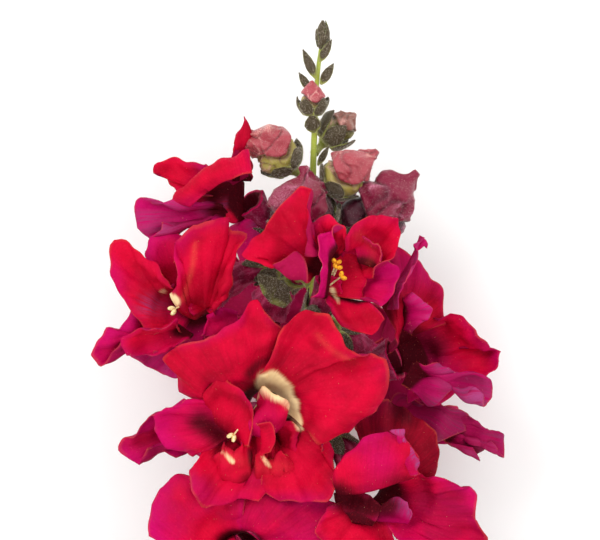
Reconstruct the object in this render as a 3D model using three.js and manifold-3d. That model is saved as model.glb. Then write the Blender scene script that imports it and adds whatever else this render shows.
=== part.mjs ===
// A cut stem of a double open-faced snapdragon, lying on a table with its best side up.
// Millimetres.  +Y runs along the stem to the tip of the spike, +Z is up from the table.
// The pieces are drawn about the axis of the spike and the finished group is moved at the end, so
// that the origin is on the table in the middle of the footprint.
import * as THREE from 'three';
import Module from 'manifold-3d';

const wasm = await Module();
wasm.setup();

// ---------------------------------------------------------------- driving dimensions

const SPIKE_HEIGHT = 26; // from the table up to the axis of the flowering part
const CUT_Y = -235; // where the stem was cut
const TIP_Y = 46; // where the stem ends inside the tip bud
const STEM_RADIUS_CUT = 2.3;
const STEM_RADIUS_TIP = 0.4;
const BLOOM_WIDTH = 46; // across the widest bloom; every bloom keeps its proportion to it
const PETAL_THICKNESS = 0.9;
const TUBE_FOOT_RADIUS = 2; // the corolla tube where it sits in its calyx
const TUBE_WALL = 0.9;
const CALYX_WALL = 0.8;
const PEDICEL_RADIUS = 0.8;
const LEAF_THICKNESS = 0.9;
const LEAF_WIDTH = 10;
const GAP = 0.3; // clearance between pieces that touch
const PINCH = 0.004; // corners nearer than this are drawn apart
const SMOOTHING = 0.08; // cuts leave slivers: facets flatter than this are merged

const DRAWN_BLOOM_WIDTH = 46; // the width that the outlines below are drawn at
const CALYX_SIDES = 10; // two to a sepal: its point and the notch beside it
const STEM_SIDES = 8;
const PEDICEL_SIDES = 6;
const STEM_RINGS = 16;
const CUP_END = 0.25; // share of a corolla tube that its calyx covers
const BUD_CUP_END = 0.42; // and of a closed bud
const SEPAL_POINT = 0.3; // how far a sepal's point and notch stand off the cup's edge, as a share of the cup
const TUBE_EASE = 0.35; // how long a tube keeps the direction of each of its ends
const TUBE_LEAN = 1.4; // how soon a tube leaves the stem's side for its throat
const TUBE_FLARE = 0.55; // how late a tube widens
const TUBE_WAIST = 0.6; // where its throat narrows, and the bottom of its hollow
const THROAT_NARROWING = 0.5;
const LOBE_POINTS = 5; // of an even lobe: along its rim
const LOBE_OVERHANG = 0.12; // how far its rim passes its base at each side
const LOBE_SHOULDER = 0.55; // reach at its sides, as a share of the middle's
const LOBE_RISE = 0.3; // how far it leans forward
const LOBE_BOW = 2;
const PEDICEL_SHARES = [1.1, 0.9, 1, 1.6]; // its radius from stem to cup
const PEDICEL_SLANT = 0.6; // how far down the stem it starts, as a share of its length
const BUD_SAG = 0.08;
const BUD_STATIONS = [0, 0.16, BUD_CUP_END, 0.7, 0.9, 1];
const BLADE_STATIONS = [0, 0.18, 0.4, 0.65, 0.88, 1];
const BLADE_SHARES = [0.25, 0.75, 1, 0.85, 0.4, 0.06]; // its width at each station
const BLADE_FOLD = 0.25; // how steeply its halves rise from the midrib
const LEAF_BOW = 4;
const BRACT_BOW = 0.2;
const BRACT_THICKNESS = LEAF_THICKNESS * 0.7;
const TIP_BUD_RADIUS = 1.35;
const TIP_BUD_STATIONS = [0, 0.25, 0.55, 0.85, 1];
const TIP_BUD_SIDES = 8;

// ---------------------------------------------------------------- materials

function tissue(colour, roughness) {
  return new THREE.MeshStandardMaterial({ color: colour, roughness, metalness: 0 });
}

const RED_PETAL = tissue(0xc00428, 0.75);
const MAROON_PETAL = tissue(0x8a0a3c, 0.75);
const ROSE_BUD = tissue(0xa84a50, 0.8);
const GREEN_BUD = tissue(0x6a7a32, 0.8);
const CALYX_GREEN = tissue(0x5a5a34, 0.85);
const STEM_GREEN = tissue(0x9aac38, 0.6);
const LEAF_GREEN = tissue(0x4c7030, 0.65);

// ---------------------------------------------------------------- blooms seen from above
// throat: centre of the mouth.  facing: the way the mouth looks.  foot: where the tube leaves its
// calyx.  A lobe starts on the mouth between two angles (0 is to the right, 90 to the tip), or on a
// base line of its own, and opens out to its rim.  lift bows its middle out of the flat.

const BLOOMS = [
  {
    name: 'bloom_centre', foot: [-1, -13, 6], throat: [-10, -28.5, 16], facing: [-0.1, -0.2, 1], mouth: 7,
    lobes: [
      { arc: [178, 98], lift: [0, 0, 3.5], rim: [
        [-27, -24.5, 21], [-31, -17.5, 23], [-25.5, -15, 25], [-19.5, -12.5, 26], [-15, -9.5, 26],
        [-10.5, -5.5, 24], [-7.5, -10, 25], [-6, -11.5, 26]] },
      { arc: [92, 2], lift: [0, 0, 3.5], rim: [
        [-5.5, -11, 26], [-4, -8.7, 26], [1.5, -8, 24], [4.5, -10, 24], [8, -16.5, 24],
        [15, -25, 22], [14.5, -27.5, 21], [10, -31, 22], [2.5, -34, 21]] },
      { arc: [-12, -78], lift: [0, 0, 2], rim: [
        [1.5, -33.5, 20], [4, -36.5, 20], [4, -42, 20], [2, -45.5, 20], [-2.5, -46.5, 20],
        [-8, -45.5, 20]] },
      { arc: [-82, -140], lift: [0, 0, 2], rim: [
        [-10, -45.5, 21], [-16, -45.5, 20], [-19.5, -47, 19], [-22, -47.5, 18], [-24, -44, 19],
        [-25, -40, 19], [-22.5, -37.5, 19]] },
      { arc: [-150, -188], lift: [0, 0, 3], rim: [
        [-23.5, -37.5, 17], [-29.5, -36, 19], [-32.5, -32, 20], [-32.5, -29, 21], [-29.5, -27, 21],
        [-24, -25.5, 20]] },
    ],
  },
  {
    name: 'bloom_left', foot: [-7, 1, 2], throat: [-25, -7, 8], facing: [-0.45, -0.25, 0.85], mouth: 5.5,
    lobes: [
      { arc: [235, 150], lift: [0, 0, 2], rim: [
        [-27, -10, 12], [-32, -11, 13], [-36, -7.5, 13], [-38.5, -4, 13], [-40.3, 0, 13],
        [-40.5, 5.7, 13], [-34.5, 1.5, 14], [-30.5, -1.5, 14], [-27.5, -4, 13]] },
      { arc: [-80, -30], lift: [0, 0, 2], rim: [
        [-27, -5, 15], [-27.3, 2, 17], [-27.5, 6.5, 17], [-24, 8.5, 18], [-16.5, 11, 17],
        [-13, 7, 16], [-15, 2, 18], [-16, -4, 17], [-18, -9, 15]] },
      { arc: [150, 80], lift: [0, 0, 0], rim: [
        [-31.5, -3, 9], [-33, 4, 9], [-32.5, 7, 8], [-29.5, 8.5, 8], [-26, 7.5, 8], [-23, 0, 9]] },
      { base: [[-27, -11, 9], [-24, -13, 9]], lift: [0, 0, 1], rim: [
        [-27, -10, 14], [-30.5, -12, 15], [-35, -13, 15], [-38.5, -13.5, 14], [-37.5, -17, 12],
        [-32, -17.5, 12], [-27, -15.5, 12]] },
      { arc: [212, 240], lift: [0, 0, 0.5], rim: [
        [-36.5, -8, 9], [-39.5, -12, 8.5], [-42, -12.5, 8], [-45, -17, 6], [-43.5, -19.5, 5],
        [-39, -15, 8], [-34.5, -15, 8]] },
      { base: [[-24.5, -8.5, 5.5], [-20, -8, 4.5]], lift: [0, 0, -1], rim: [
        [-37, -17.5, 5], [-33.5, -20, 4], [-30.5, -21.5, 3], [-24, -21, 4]] },
    ],
  },
  {
    name: 'bloom_upper_left', foot: [-7, 6, -1], throat: [-16, 15.5, 4], facing: [-0.85, 0.2, 0.5], mouth: 5,
    lobes: [
      { base: [[-16, 18, 5], [-12.5, 18, 2]], lift: [0, 0, 1], rim: [
        [-16.5, 23, 6], [-16, 27, 6], [-13, 31.5, 5], [-12.2, 27, 3], [-11.5, 22, 0],
        [-10.5, 20, -1]] },
      { base: [[-13, 19, 4], [-20, 15, 4]], mid: [[-13, 24.5, 8], [-21.5, 20.5, 9], [-28.5, 14.5, 7]],
        rim: [[-12, 19.5, 11], [-15.5, 19, 13], [-21.5, 16, 13], [-25, 12.5, 11]] },
      { base: [[-18, 13.5, 0.5], [-18, 17.5, 0.5]], lift: [0, 0, 0], rim: [
        [-28, 15.5, 3], [-29.5, 18, 3], [-32, 19.5, 4], [-32, 21, 4], [-26.5, 21, 4], [-22, 21, 4]] },
      { base: [[-16.5, 11.2, 4], [-18.2, 12.8, 6.3]], lift: [0, 0, 1], rim: [
        [-24, 7.5, 6], [-30.5, 8.5, 7], [-33.5, 7.5, 6], [-36, 8.5, 6], [-37, 12, 6],
        [-33, 13, 8], [-27, 15, 9]] },
    ],
  },
  {
    name: 'bloom_upper_right', foot: [0, -10, 4], throat: [6, -2, 15], facing: [0.35, 0, 0.9], mouth: 5,
    lobes: [
      { base: [[1, -1, 16], [2, 2, 16]], lift: [0, 0, 2], rim: [
        [-3.5, 0.5, 22], [-8.5, 0.5, 24], [-14.5, 3, 22], [-10, 8.5, 25], [-6.5, 13, 26],
        [-2, 17, 25], [-1, 11, 25], [-1.5, 7, 24], [-0.5, 3.5, 22]] },
      { base: [[2, -5, 15], [2.5, 0, 15]], lift: [-0.5, 0, 0], rim: [
        [1.2, -5, 21], [1, 1.5, 24], [2, 4.5, 25], [6.5, 6.5, 25], [4.5, 1.5, 21]] },
      { arc: [75, 10], lift: [0, 0, 2], rim: [
        [6.5, 6.5, 22], [9.5, 9.5, 23], [12, 11, 23], [17, 10.5, 20], [16, 3.5, 20], [12, 1, 19]] },
      { arc: [5, -45], lift: [0, 0, 1], rim: [
        [13, 1.5, 19], [17, 0.5, 18], [16.5, -5, 18], [14.5, -8, 17], [11, -6.5, 17]] },
      { base: [[2.5, -5, 15], [10, -6.5, 14]], lift: [0, 1, 1], rim: [
        [3.5, -8.5, 20], [5.5, -11.5, 20], [11.5, -13, 18], [14.5, -10, 17]] },
      { base: [[3, 2, 15], [5, 2.5, 15]], lift: [0, 0, 1], rim: [
        [-2.5, 5.7, 21], [1, 10.5, 22], [3, 11, 23], [6, 8.5, 22], [6, 5.5, 21]] },
    ],
  },
  {
    name: 'bloom_right', foot: [5, -24, 1], throat: [21.5, -16.5, 6], facing: [0.9, 0.25, 0.4], mouth: 6,
    lobes: [
      { arc: [150, 60], lift: [0, 0, 2], rim: [
        [13, -7, 9], [15, 0, 9], [16.5, 5, 8], [19.5, 3.5, 8], [23.5, 0, 7], [26, -4, 6],
        [27, -11, 6]] },
      { base: [[16, -12, 10], [19, -11, 10]], lift: [0, 0, 1], rim: [
        [15, -8, 14], [17, -2, 14], [20, 3, 13], [21.7, 7.3, 12], [23.5, 5.3, 12], [21, 1, 13],
        [24, -6, 12], [22, -10, 12]] },
      { arc: [50, -50], lift: [0, 0, -1.5], rim: [
        [27, -11, 6], [28.5, -10.2, 7], [33, -12, 9], [36.5, -16.3, 9], [39, -16.2, 8],
        [38.5, -18.5, 8], [35, -22, 8], [31.5, -22, 8]] },
      { base: [[20, -18.5, 10], [18, -23, 8]], lift: [0, 0, 1], rim: [
        [25, -19, 12], [33, -22, 11.5], [37, -24, 10], [36.5, -26, 10], [30, -24, 11],
        [23, -27, 10]] },
      { base: [[19, -23, 3], [21, -20, 3]], lift: [0, 0, 0], rim: [
        [19, -27, 4], [25.5, -27.5, 3], [29, -25, 3], [30, -22, 3]] },
    ],
  },
  {
    name: 'bloom_lower_right', foot: [3, -34, 4], throat: [12, -45, 13], facing: [0.25, -0.25, 0.9], mouth: 7,
    lobes: [
      { arc: [200, 100], lift: [0, 0, 2.5], rim: [
        [5, -44, 20], [3.8, -38.5, 22], [6.5, -35.5, 23], [9, -32.5, 24], [15, -31.5, 24],
        [18.2, -33, 24], [20.5, -38.5, 23], [20.5, -41, 22], [16, -42, 20]] },
      { arc: [90, 20], lift: [0, 0, 1], rim: [
        [7, -27.5, 12], [15, -25.5, 13], [18.5, -26.5, 13], [22, -29.5, 12], [24.5, -33, 12],
        [25.8, -39, 12], [24.5, -41.5, 12]] },
      { arc: [10, -60], lift: [0, 0, 2], rim: [
        [22, -41, 16], [26, -41.2, 17], [30.5, -44, 18], [33, -45.5, 17], [32.5, -50.5, 16],
        [35, -54, 14], [31, -58, 14], [24, -58, 15]] },
      { arc: [-68, -150], lift: [0, 0, 2], rim: [
        [19, -60, 17], [11, -60, 18], [4, -56, 18], [2, -50, 19], [4, -46.5, 19]] },
    ],
  },
  {
    name: 'bloom_far_right', foot: [5, -27, -4], throat: [17, -31, -3], facing: [0.9, -0.15, -0.2], mouth: 5,
    lobes: [
      { arc: [150, 60], lift: [0, 0, 1.5], rim: [
        [20, -37, 0], [25, -36, 0], [31.5, -32.5, -1], [32, -30, -1], [27, -27, 0], [22, -27.5, 1]] },
      { base: [[25.5, -34, -1], [27.5, -30, -1]], lift: [0, 0, 0.8], rim: [
        [33, -36, -4], [34, -38.7, -6], [36.8, -35, -5], [39.7, -38.7, -7], [40, -34, -6],
        [36, -32.5, -4], [32.5, -30, -2]] },
      { arc: [30, -50], lift: [0, 0, 0], rim: [
        [27, -28, -8], [31, -30, -12], [31, -35, -14], [25, -37, -12]] },
      { arc: [-70, -140], lift: [0, 0, 0], rim: [
        [23, -38, -12], [19, -38, -16], [13, -35, -14], [11, -31, -10]] },
    ],
  },
  {
    name: 'bloom_far_left', foot: [-5, -28, -4], throat: [-19, -33, -3], facing: [-0.9, -0.1, -0.2], mouth: 5,
    lobes: [
      { arc: [60, 150], lift: [0, 0, 1], rim: [
        [-26, -26, 1], [-30, -28.5, 2], [-34.5, -31, 0], [-38.5, -34.5, -3], [-40.5, -37.3, -5],
        [-36, -39.3, -4], [-33.5, -35, -2], [-28, -37, -1]] },
      { arc: [-150, -60], lift: [0, 0, 0], rim: [
        [-28, -36, -8], [-28, -38, -13], [-22, -40, -15], [-17, -38, -12]] },
    ],
  },
  {
    name: 'bloom_lower_left', foot: [-3, -46, 4], throat: [-15, -58, 11], facing: [-0.2, -0.3, 0.9], mouth: 7,
    lobes: [
      { arc: [185, 95], lift: [0, 0, 3], rim: [
        [-33, -53, 14], [-33, -47, 14], [-31.3, -43.5, 15], [-29, -41, 15], [-25.5, -40, 15],
        [-21, -42, 15], [-15.5, -46, 15]] },
      { arc: [85, 0], lift: [0, 0, 3], rim: [
        [-14.5, -46, 15], [-9.5, -45, 15], [-3, -46, 15], [1.3, -49, 15], [2.5, -53, 14],
        [2, -58, 14]] },
      { arc: [190, 235], lift: [0, 0, 2], rim: [
        [-34, -56, 13], [-37, -60, 12], [-36, -66, 11], [-31, -70, 11], [-24, -68, 12]] },
      { arc: [245, 290], lift: [0, 0, 2], rim: [
        [-23, -70, 12], [-20, -76, 11], [-14, -78, 11], [-8, -75, 12], [-8, -70, 13]] },
      { arc: [-60, -10], lift: [0, 0, 2], rim: [
        [-7, -72, 12], [-1, -74, 11], [3, -70, 11], [4, -63, 12]] },
    ],
  },
];

// Blooms below the picture-side ones, all grown to one pattern: reach is from the mouth to the rim.
const PATTERN_BLOOMS = [
  {
    name: 'bloom_bottom_right', foot: [4, -62, 1], throat: [18, -73, 4],
    facing: [0.75, -0.25, 0.5], reach: 17,
  },
  {
    name: 'bloom_bottom', foot: [-1, -77, 4], throat: [-5, -91, 10],
    facing: [-0.1, -0.45, 0.85], reach: 17,
  },
  {
    name: 'bloom_back_left', foot: [-3, -1, -4], throat: [-11, -10, -18],
    facing: [-0.4, -0.3, -0.85], reach: 13,
  },
  {
    name: 'bloom_back_right', foot: [3, -12, -4], throat: [13, -20, -18],
    facing: [0.5, -0.2, -0.8], reach: 12,
  },
  {
    name: 'bloom_back_bottom', foot: [-1, -55, -5], throat: [-7, -67, -18],
    facing: [-0.3, -0.3, -0.9], reach: 16,
  },
];
const PATTERN_MOUTH = 5.5;
const PATTERN_LOBES = [ // first and last angle of each lobe on the mouth, and its reach
  { from: 172, to: 98, reach: 1.0 },
  { from: 82, to: 8, reach: 1.0 },
  { from: -8, to: -58, reach: 0.85 },
  { from: -66, to: -114, reach: 0.9 },
  { from: -122, to: -172, reach: 0.85 },
];

// Buds, from the foot of the calyx to the tip; across is the widest part.
const BUDS = [
  { name: 'bud_a', foot: [0, 31.5, 1.5], tip: [-0.2, 38.3, 1.8], across: 4.8, look: ROSE_BUD },
  { name: 'bud_b', foot: [-4.2, 20.5, 3], tip: [-12.6, 29.3, 4], across: 8.6, look: ROSE_BUD },
  { name: 'bud_c', foot: [2.4, 26, -3], tip: [8.7, 31.8, -4], across: 6.4, look: GREEN_BUD },
  { name: 'bud_d', foot: [3.5, 16, 4], tip: [11.4, 25, 5.5], across: 8.8, look: ROSE_BUD },
  { name: 'bud_e', foot: [-1.2, 7, 5], tip: [-3, 20.5, 9], across: 13, look: MAROON_PETAL },
  { name: 'bud_f', foot: [6.5, 6, 0], tip: [20.5, 18.5, 2], across: 12, look: MAROON_PETAL },
  { name: 'bud_g', foot: [4, 9, -4], tip: [8.6, 16.4, -5], across: 5.4, look: MAROON_PETAL },
];

// Small green bracts by the tip: foot, tip and width.
const BRACTS = [
  { name: 'bract_1', foot: [1.4, 42.2, 0.8], tip: [3.8, 46.6, 1], width: 1.8 },
  { name: 'bract_2', foot: [0.6, 38.8, 0.9], tip: [-2, 44.6, 1.4], width: 2 },
  { name: 'bract_3', foot: [1.6, 37.6, 0.4], tip: [4.2, 41.8, 0.6], width: 2 },
  { name: 'bract_4', foot: [-0.5, 36.3, -0.2], tip: [-2.8, 40, -0.4], width: 1.7 },
  { name: 'bract_5', foot: [0.2, 27.8, 1.6], tip: [-0.3, 31.4, 3.2], width: 3.4 },
  { name: 'bract_6', foot: [1, 21.2, 0.5], tip: [3.2, 25, 1], width: 1.4 },
];

// Leaves on the bare stem: where on the stem, how far the tip is from there, as x, y, z.
const LEAVES = [
  { name: 'leaf_1', y: -104, reach: [-38, 26, -4], width: LEAF_WIDTH },
  { name: 'leaf_2', y: -116, reach: [40, 30, 2], width: LEAF_WIDTH },
  { name: 'leaf_3', y: -134, reach: [-34, 38, 8], width: LEAF_WIDTH },
  { name: 'leaf_4', y: -150, reach: [36, 34, -8], width: LEAF_WIDTH * 1.1 },
  { name: 'leaf_5', y: -168, reach: [-42, 34, -8], width: LEAF_WIDTH * 1.1 },
  { name: 'leaf_6', y: -190, reach: [34, 44, 6], width: LEAF_WIDTH },
];

// ---------------------------------------------------------------- small helpers

const bloomScale = BLOOM_WIDTH / DRAWN_BLOOM_WIDTH;
const TABLE = -SPIKE_HEIGHT;

function vec(p) {
  return new THREE.Vector3(p[0], p[1], p[2]);
}

function lerp(a, b, t) {
  return a + (b - a) * t;
}

// Soft tissue that meets the table lies flat on it: no middle surface comes nearer than half its wall.
function settle(point, wall) {
  const lowest = TABLE + wall / 2;
  if (point.z < lowest) {
    point.z = lowest;
  }
  return point;
}

function geometryOf(points, triangles) {
  const geometry = new THREE.BufferGeometry();
  const flat = points.flatMap((p) => [p.x, p.y, p.z]);
  geometry.setAttribute('position', new THREE.Float32BufferAttribute(flat, 3));
  geometry.setIndex(triangles.flat());
  return geometry;
}

function toSolid(geometry) {
  const mesh = new wasm.Mesh({
    numProp: 3,
    vertProperties: new Float32Array(geometry.attributes.position.array),
    triVerts: new Uint32Array(geometry.index.array),
  });
  const solid = new wasm.Manifold(mesh);
  return solid.volume() < 0 ? turnedOut(geometry) : solid;
}

function turnedOut(geometry) {
  const index = geometry.index.array;
  const turned = new Uint32Array(index.length);
  for (let i = 0; i < index.length; i += 3) {
    turned.set([index[i], index[i + 2], index[i + 1]], i);
  }
  const mesh = new wasm.Mesh({
    numProp: 3,
    vertProperties: new Float32Array(geometry.attributes.position.array),
    triVerts: turned,
  });
  return new wasm.Manifold(mesh);
}

function toGeometry(solid) {
  const mesh = solid.getMesh();
  const geometry = new THREE.BufferGeometry();
  geometry.setAttribute('position', new THREE.BufferAttribute(mesh.vertProperties, 3));
  geometry.setIndex(new THREE.BufferAttribute(mesh.triVerts, 1));
  geometry.computeVertexNormals();
  openPinches(geometry);
  return geometry;
}

// Two corners of a skin that meet at one spot are drawn apart, each into its own material.
function openPinches(geometry) {
  const place = geometry.attributes.position;
  const normal = geometry.attributes.normal;
  const cornerAt = (_, i) => new THREE.Vector3().fromBufferAttribute(place, i);
  const corners = Array.from({ length: place.count }, cornerAt);
  corners.forEach((corner, i) => {
    if (corners.some((other, j) => j !== i && corner.distanceTo(other) < PINCH)) {
      corner.addScaledVector(new THREE.Vector3().fromBufferAttribute(normal, i), -2 * PINCH);
      place.setXYZ(i, corner.x, corner.y, corner.z);
    }
  });
}

// ---------------------------------------------------------------- skins round a path

// A closed skin from a first pole, through rings of equal count, to a last pole.
function skin(firstPole, rings, lastPole) {
  const sides = rings[0].length;
  const points = [firstPole, ...rings.flat(), lastPole];
  const last = points.length - 1;
  const triangles = [];
  for (let s = 0; s < sides; s += 1) {
    const next = (s + 1) % sides;
    triangles.push([0, 1 + next, 1 + s]);
    for (let r = 0; r + 1 < rings.length; r += 1) {
      const a = 1 + r * sides + s;
      const b = 1 + r * sides + next;
      triangles.push([a, b, b + sides], [a, b + sides, a + sides]);
    }
    const end = 1 + (rings.length - 1) * sides;
    triangles.push([last, end + s, end + next]);
  }
  return toSolid(geometryOf(points, triangles));
}

// Rings round a curve.  A station is { t, r } and may sway its t by angle, for scalloped edges.
function ringsAlong(curve, stations, sides) {
  const steps = 24;
  const frames = curve.computeFrenetFrames(steps, false);
  return stations.map(({ t, r, sway = 0, count = 5 }) => {
    const ring = [];
    for (let s = 0; s < sides; s += 1) {
      const angle = (2 * Math.PI * s) / sides;
      const at = THREE.MathUtils.clamp(t + sway * Math.cos(count * angle), 0, 1);
      const k = Math.round(at * steps);
      const out = frames.normals[k].clone().multiplyScalar(Math.cos(angle) * r);
      out.addScaledVector(frames.binormals[k], Math.sin(angle) * r);
      ring.push(curve.getPointAt(at).add(out));
    }
    return ring;
  });
}

function tube(curve, stations, sides) {
  const rings = ringsAlong(curve, stations, sides);
  const first = curve.getPointAt(stations[0].t);
  const last = curve.getPointAt(stations[stations.length - 1].t);
  return skin(first, rings, last);
}

// ---------------------------------------------------------------- stem

const stemCurve = new THREE.CatmullRomCurve3([
  vec([0, CUT_Y, TABLE + STEM_RADIUS_CUT]),
  vec([1, lerp(CUT_Y, -100, 0.35), TABLE + STEM_RADIUS_CUT + 2]),
  vec([1.5, lerp(CUT_Y, -100, 0.7), TABLE * 0.6]),
  vec([0.5, -100, TABLE * 0.22]),
  vec([0, -60, 0]),
  vec([-0.3, 0, 0]),
  vec([0.2, 25, 0]),
  vec([1, TIP_Y - 6, 0]),
  vec([1.8, TIP_Y, 0]),
]);

function stemRadius(t) {
  return lerp(STEM_RADIUS_CUT, STEM_RADIUS_TIP, Math.pow(t, 1.4));
}

function stemAt(y) {
  let low = 0;
  let high = 1;
  for (let i = 0; i < 40; i += 1) {
    const middle = (low + high) / 2;
    if (stemCurve.getPointAt(middle).y < y) {
      low = middle;
    } else {
      high = middle;
    }
  }
  return { point: stemCurve.getPointAt(low), radius: stemRadius(low) };
}

function stemSolid(grow) {
  const stations = [];
  for (let i = 0; i <= STEM_RINGS; i += 1) {
    stations.push({ t: i / STEM_RINGS, r: stemRadius(i / STEM_RINGS) + grow });
  }
  return tube(stemCurve, stations, STEM_SIDES);
}

// ---------------------------------------------------------------- petals, bracts and leaves

function resample(row, count) {
  if (row.length === 2) {
    return Array.from({ length: count + 1 }, (_, i) => row[0].clone().lerp(row[1], i / count));
  }
  const curve = new THREE.CatmullRomCurve3(row, false, 'centripetal');
  return Array.from({ length: count + 1 }, (_, i) => curve.getPointAt(i / count));
}

// Points of a sheet between rows that run across it, bowed by lift in the middle.
function sheetPoints(rows, lift, across, along) {
  const lines = rows.map((row) => resample(row, across));
  const grid = [];
  for (let j = 0; j <= along; j += 1) {
    const v = j / along;
    const bow = 4 * v * (1 - v);
    grid.push(lines[0].map((start, i) => {
      const stops = lines.map((line) => line[i]);
      const point = stops.length === 2
        ? start.clone().lerp(stops[1], v)
        : new THREE.QuadraticBezierCurve3(start, bowedHandle(stops), stops[2]).getPoint(v);
      return point.addScaledVector(lift, bow);
    }));
  }
  return grid;
}

// The handle that takes a quadratic curve through its middle stop.
function bowedHandle([start, middle, end]) {
  return middle.clone().multiplyScalar(2).addScaledVector(start, -0.5).addScaledVector(end, -0.5);
}

// A closed solid of even wall on both sides of a grid of points.
function thicken(grid, wall, grow) {
  const rows = grid.length;
  const columns = grid[0].length;
  const middleRow = grid[Math.floor(rows / 2)];
  const spanWise = middleRow[columns - 1].clone().sub(middleRow[0]);
  const outWise = grid[rows - 1][Math.floor(columns / 2)].clone().sub(grid[0][Math.floor(columns / 2)]);
  const general = spanWise.cross(outWise).normalize();
  const upper = [];
  const lower = [];
  for (let j = 0; j < rows; j += 1) {
    for (let i = 0; i < columns; i += 1) {
      const left = grid[j][Math.max(i - 1, 0)];
      const right = grid[j][Math.min(i + 1, columns - 1)];
      const near = grid[Math.max(j - 1, 0)][i];
      const far = grid[Math.min(j + 1, rows - 1)][i];
      const span = right.clone().sub(left);
      const out = far.clone().sub(near);
      const normal = span.clone().cross(out).normalize();
      if (normal.dot(general) < 0.3) {
        normal.addScaledVector(general, 1).normalize();
      }
      const base = grid[j][i].clone();
      if (grow > 0 && i === 0) base.addScaledVector(span.normalize(), -grow);
      if (grow > 0 && i === columns - 1) base.addScaledVector(span.normalize(), grow);
      if (grow > 0 && j === rows - 1) base.addScaledVector(out.normalize(), grow);
      settle(base, wall);
      const half = wall / 2 + grow;
      const up = base.clone().addScaledVector(normal, half);
      const down = base.clone().addScaledVector(normal, -half);
      if (grow === 0) {
        up.z = Math.max(up.z, TABLE);
        down.z = Math.max(down.z, TABLE);
      }
      upper.push(up);
      lower.push(down);
    }
  }
  return closeSheet(upper, lower, rows, columns);
}

function closeSheet(upper, lower, rows, columns) {
  const count = rows * columns;
  const triangles = [];
  for (let j = 0; j + 1 < rows; j += 1) {
    for (let i = 0; i + 1 < columns; i += 1) {
      const a = j * columns + i;
      const b = a + 1;
      const c = a + columns;
      const d = c + 1;
      triangles.push([a, b, d], [a, d, c]);
      triangles.push([count + a, count + d, count + b], [count + a, count + c, count + d]);
    }
  }
  const edge = [];
  for (let i = 0; i < columns; i += 1) edge.push(i);
  for (let j = 1; j < rows; j += 1) edge.push(j * columns + columns - 1);
  for (let i = columns - 2; i >= 0; i -= 1) edge.push((rows - 1) * columns + i);
  for (let j = rows - 2; j > 0; j -= 1) edge.push(j * columns);
  edge.forEach((a, k) => {
    const b = edge[(k + 1) % edge.length];
    triangles.push([a, count + a, count + b], [a, count + b, b]);
  });
  return toSolid(geometryOf([...upper, ...lower], triangles));
}

// ---------------------------------------------------------------- corollas

function tubeCurve(bloom) {
  const foot = vec(bloom.foot);
  const throat = vec(bloom.throat);
  const facing = vec(bloom.facing).normalize();
  const reach = foot.distanceTo(throat) * TUBE_EASE;
  const away = foot.clone().sub(stemAt(foot.y - 4).point).normalize();
  away.addScaledVector(throat.clone().sub(foot).normalize(), TUBE_LEAN).normalize();
  return new THREE.CubicBezierCurve3(
    foot,
    foot.clone().addScaledVector(away, reach),
    throat.clone().addScaledVector(facing, -reach),
    throat,
  );
}

function tubeRadius(bloom, t) {
  return lerp(TUBE_FOOT_RADIUS, bloom.mouth, t * t * TUBE_FLARE + t * (1 - TUBE_FLARE));
}

function tubeSolid(bloom, grow) {
  const curve = tubeCurve(bloom);
  const outer = [0, CUP_END, TUBE_WAIST, 1].map((t) => ({ t, r: tubeRadius(bloom, t) + grow }));
  const inner = [1, TUBE_WAIST].map((t) => {
    const r = tubeRadius(bloom, t) * lerp(THROAT_NARROWING, 1, t) - TUBE_WALL - grow;
    return { t, r };
  });
  return tube(curve, [...outer, ...inner], CALYX_SIDES);
}

// Directions across the mouth: to the right, and towards the tip of the spike.
function mouthAxes(bloom) {
  const facing = vec(bloom.facing).normalize();
  const tipward = new THREE.Vector3(0, 1, 0);
  tipward.addScaledVector(facing, -tipward.dot(facing)).normalize();
  const right = tipward.clone().cross(facing);
  return { facing, tipward, right };
}

function onMouth(bloom, degrees, radius, ahead) {
  const { facing, tipward, right } = mouthAxes(bloom);
  const angle = THREE.MathUtils.degToRad(degrees);
  return vec(bloom.throat)
    .addScaledVector(right, Math.cos(angle) * radius)
    .addScaledVector(tipward, Math.sin(angle) * radius)
    .addScaledVector(facing, ahead);
}

function arcBase(bloom, [from, to]) {
  const seat = bloom.mouth - TUBE_WALL / 2;
  return [0, 0.5, 1].map((t) => onMouth(bloom, lerp(from, to, t), seat, -PETAL_THICKNESS));
}

// A drawn point, kept in proportion to the bloom's own width about its throat.
function placed(bloom, p) {
  const throat = vec(bloom.throat);
  return vec(p).sub(throat).multiplyScalar(bloomScale).add(throat);
}

function lobeSolid(bloom, lobe, grow) {
  const base = lobe.arc ? arcBase(bloom, lobe.arc) : lobe.base.map((p) => placed(bloom, p));
  const rim = lobe.rim.map((p) => placed(bloom, p));
  const rows = lobe.mid ? [base, lobe.mid.map((p) => placed(bloom, p)), rim] : [base, rim];
  const lift = vec(lobe.lift ?? [0, 0, 0]);
  const across = THREE.MathUtils.clamp(lobe.rim.length - 1, 4, 6);
  const along = lobe.mid ? 3 : 2;
  return thicken(sheetPoints(rows, lift, across, along), PETAL_THICKNESS, grow);
}

function patternLobes(bloom) {
  return PATTERN_LOBES.map(({ from, to, reach }) => {
    const rim = [];
    for (let i = 0; i <= LOBE_POINTS; i += 1) {
      const t = i / LOBE_POINTS;
      const spread = lerp(from, to, lerp(-LOBE_OVERHANG, 1 + LOBE_OVERHANG, t));
      const round = lerp(LOBE_SHOULDER, 1, Math.sin(Math.PI * t));
      const radius = bloom.mouth + bloom.reach * reach * round;
      rim.push(onMouth(bloom, spread, radius, bloom.reach * LOBE_RISE).toArray());
    }
    return { arc: [from, to], rim, lift: mouthAxes(bloom).facing.multiplyScalar(LOBE_BOW).toArray() };
  });
}

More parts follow.
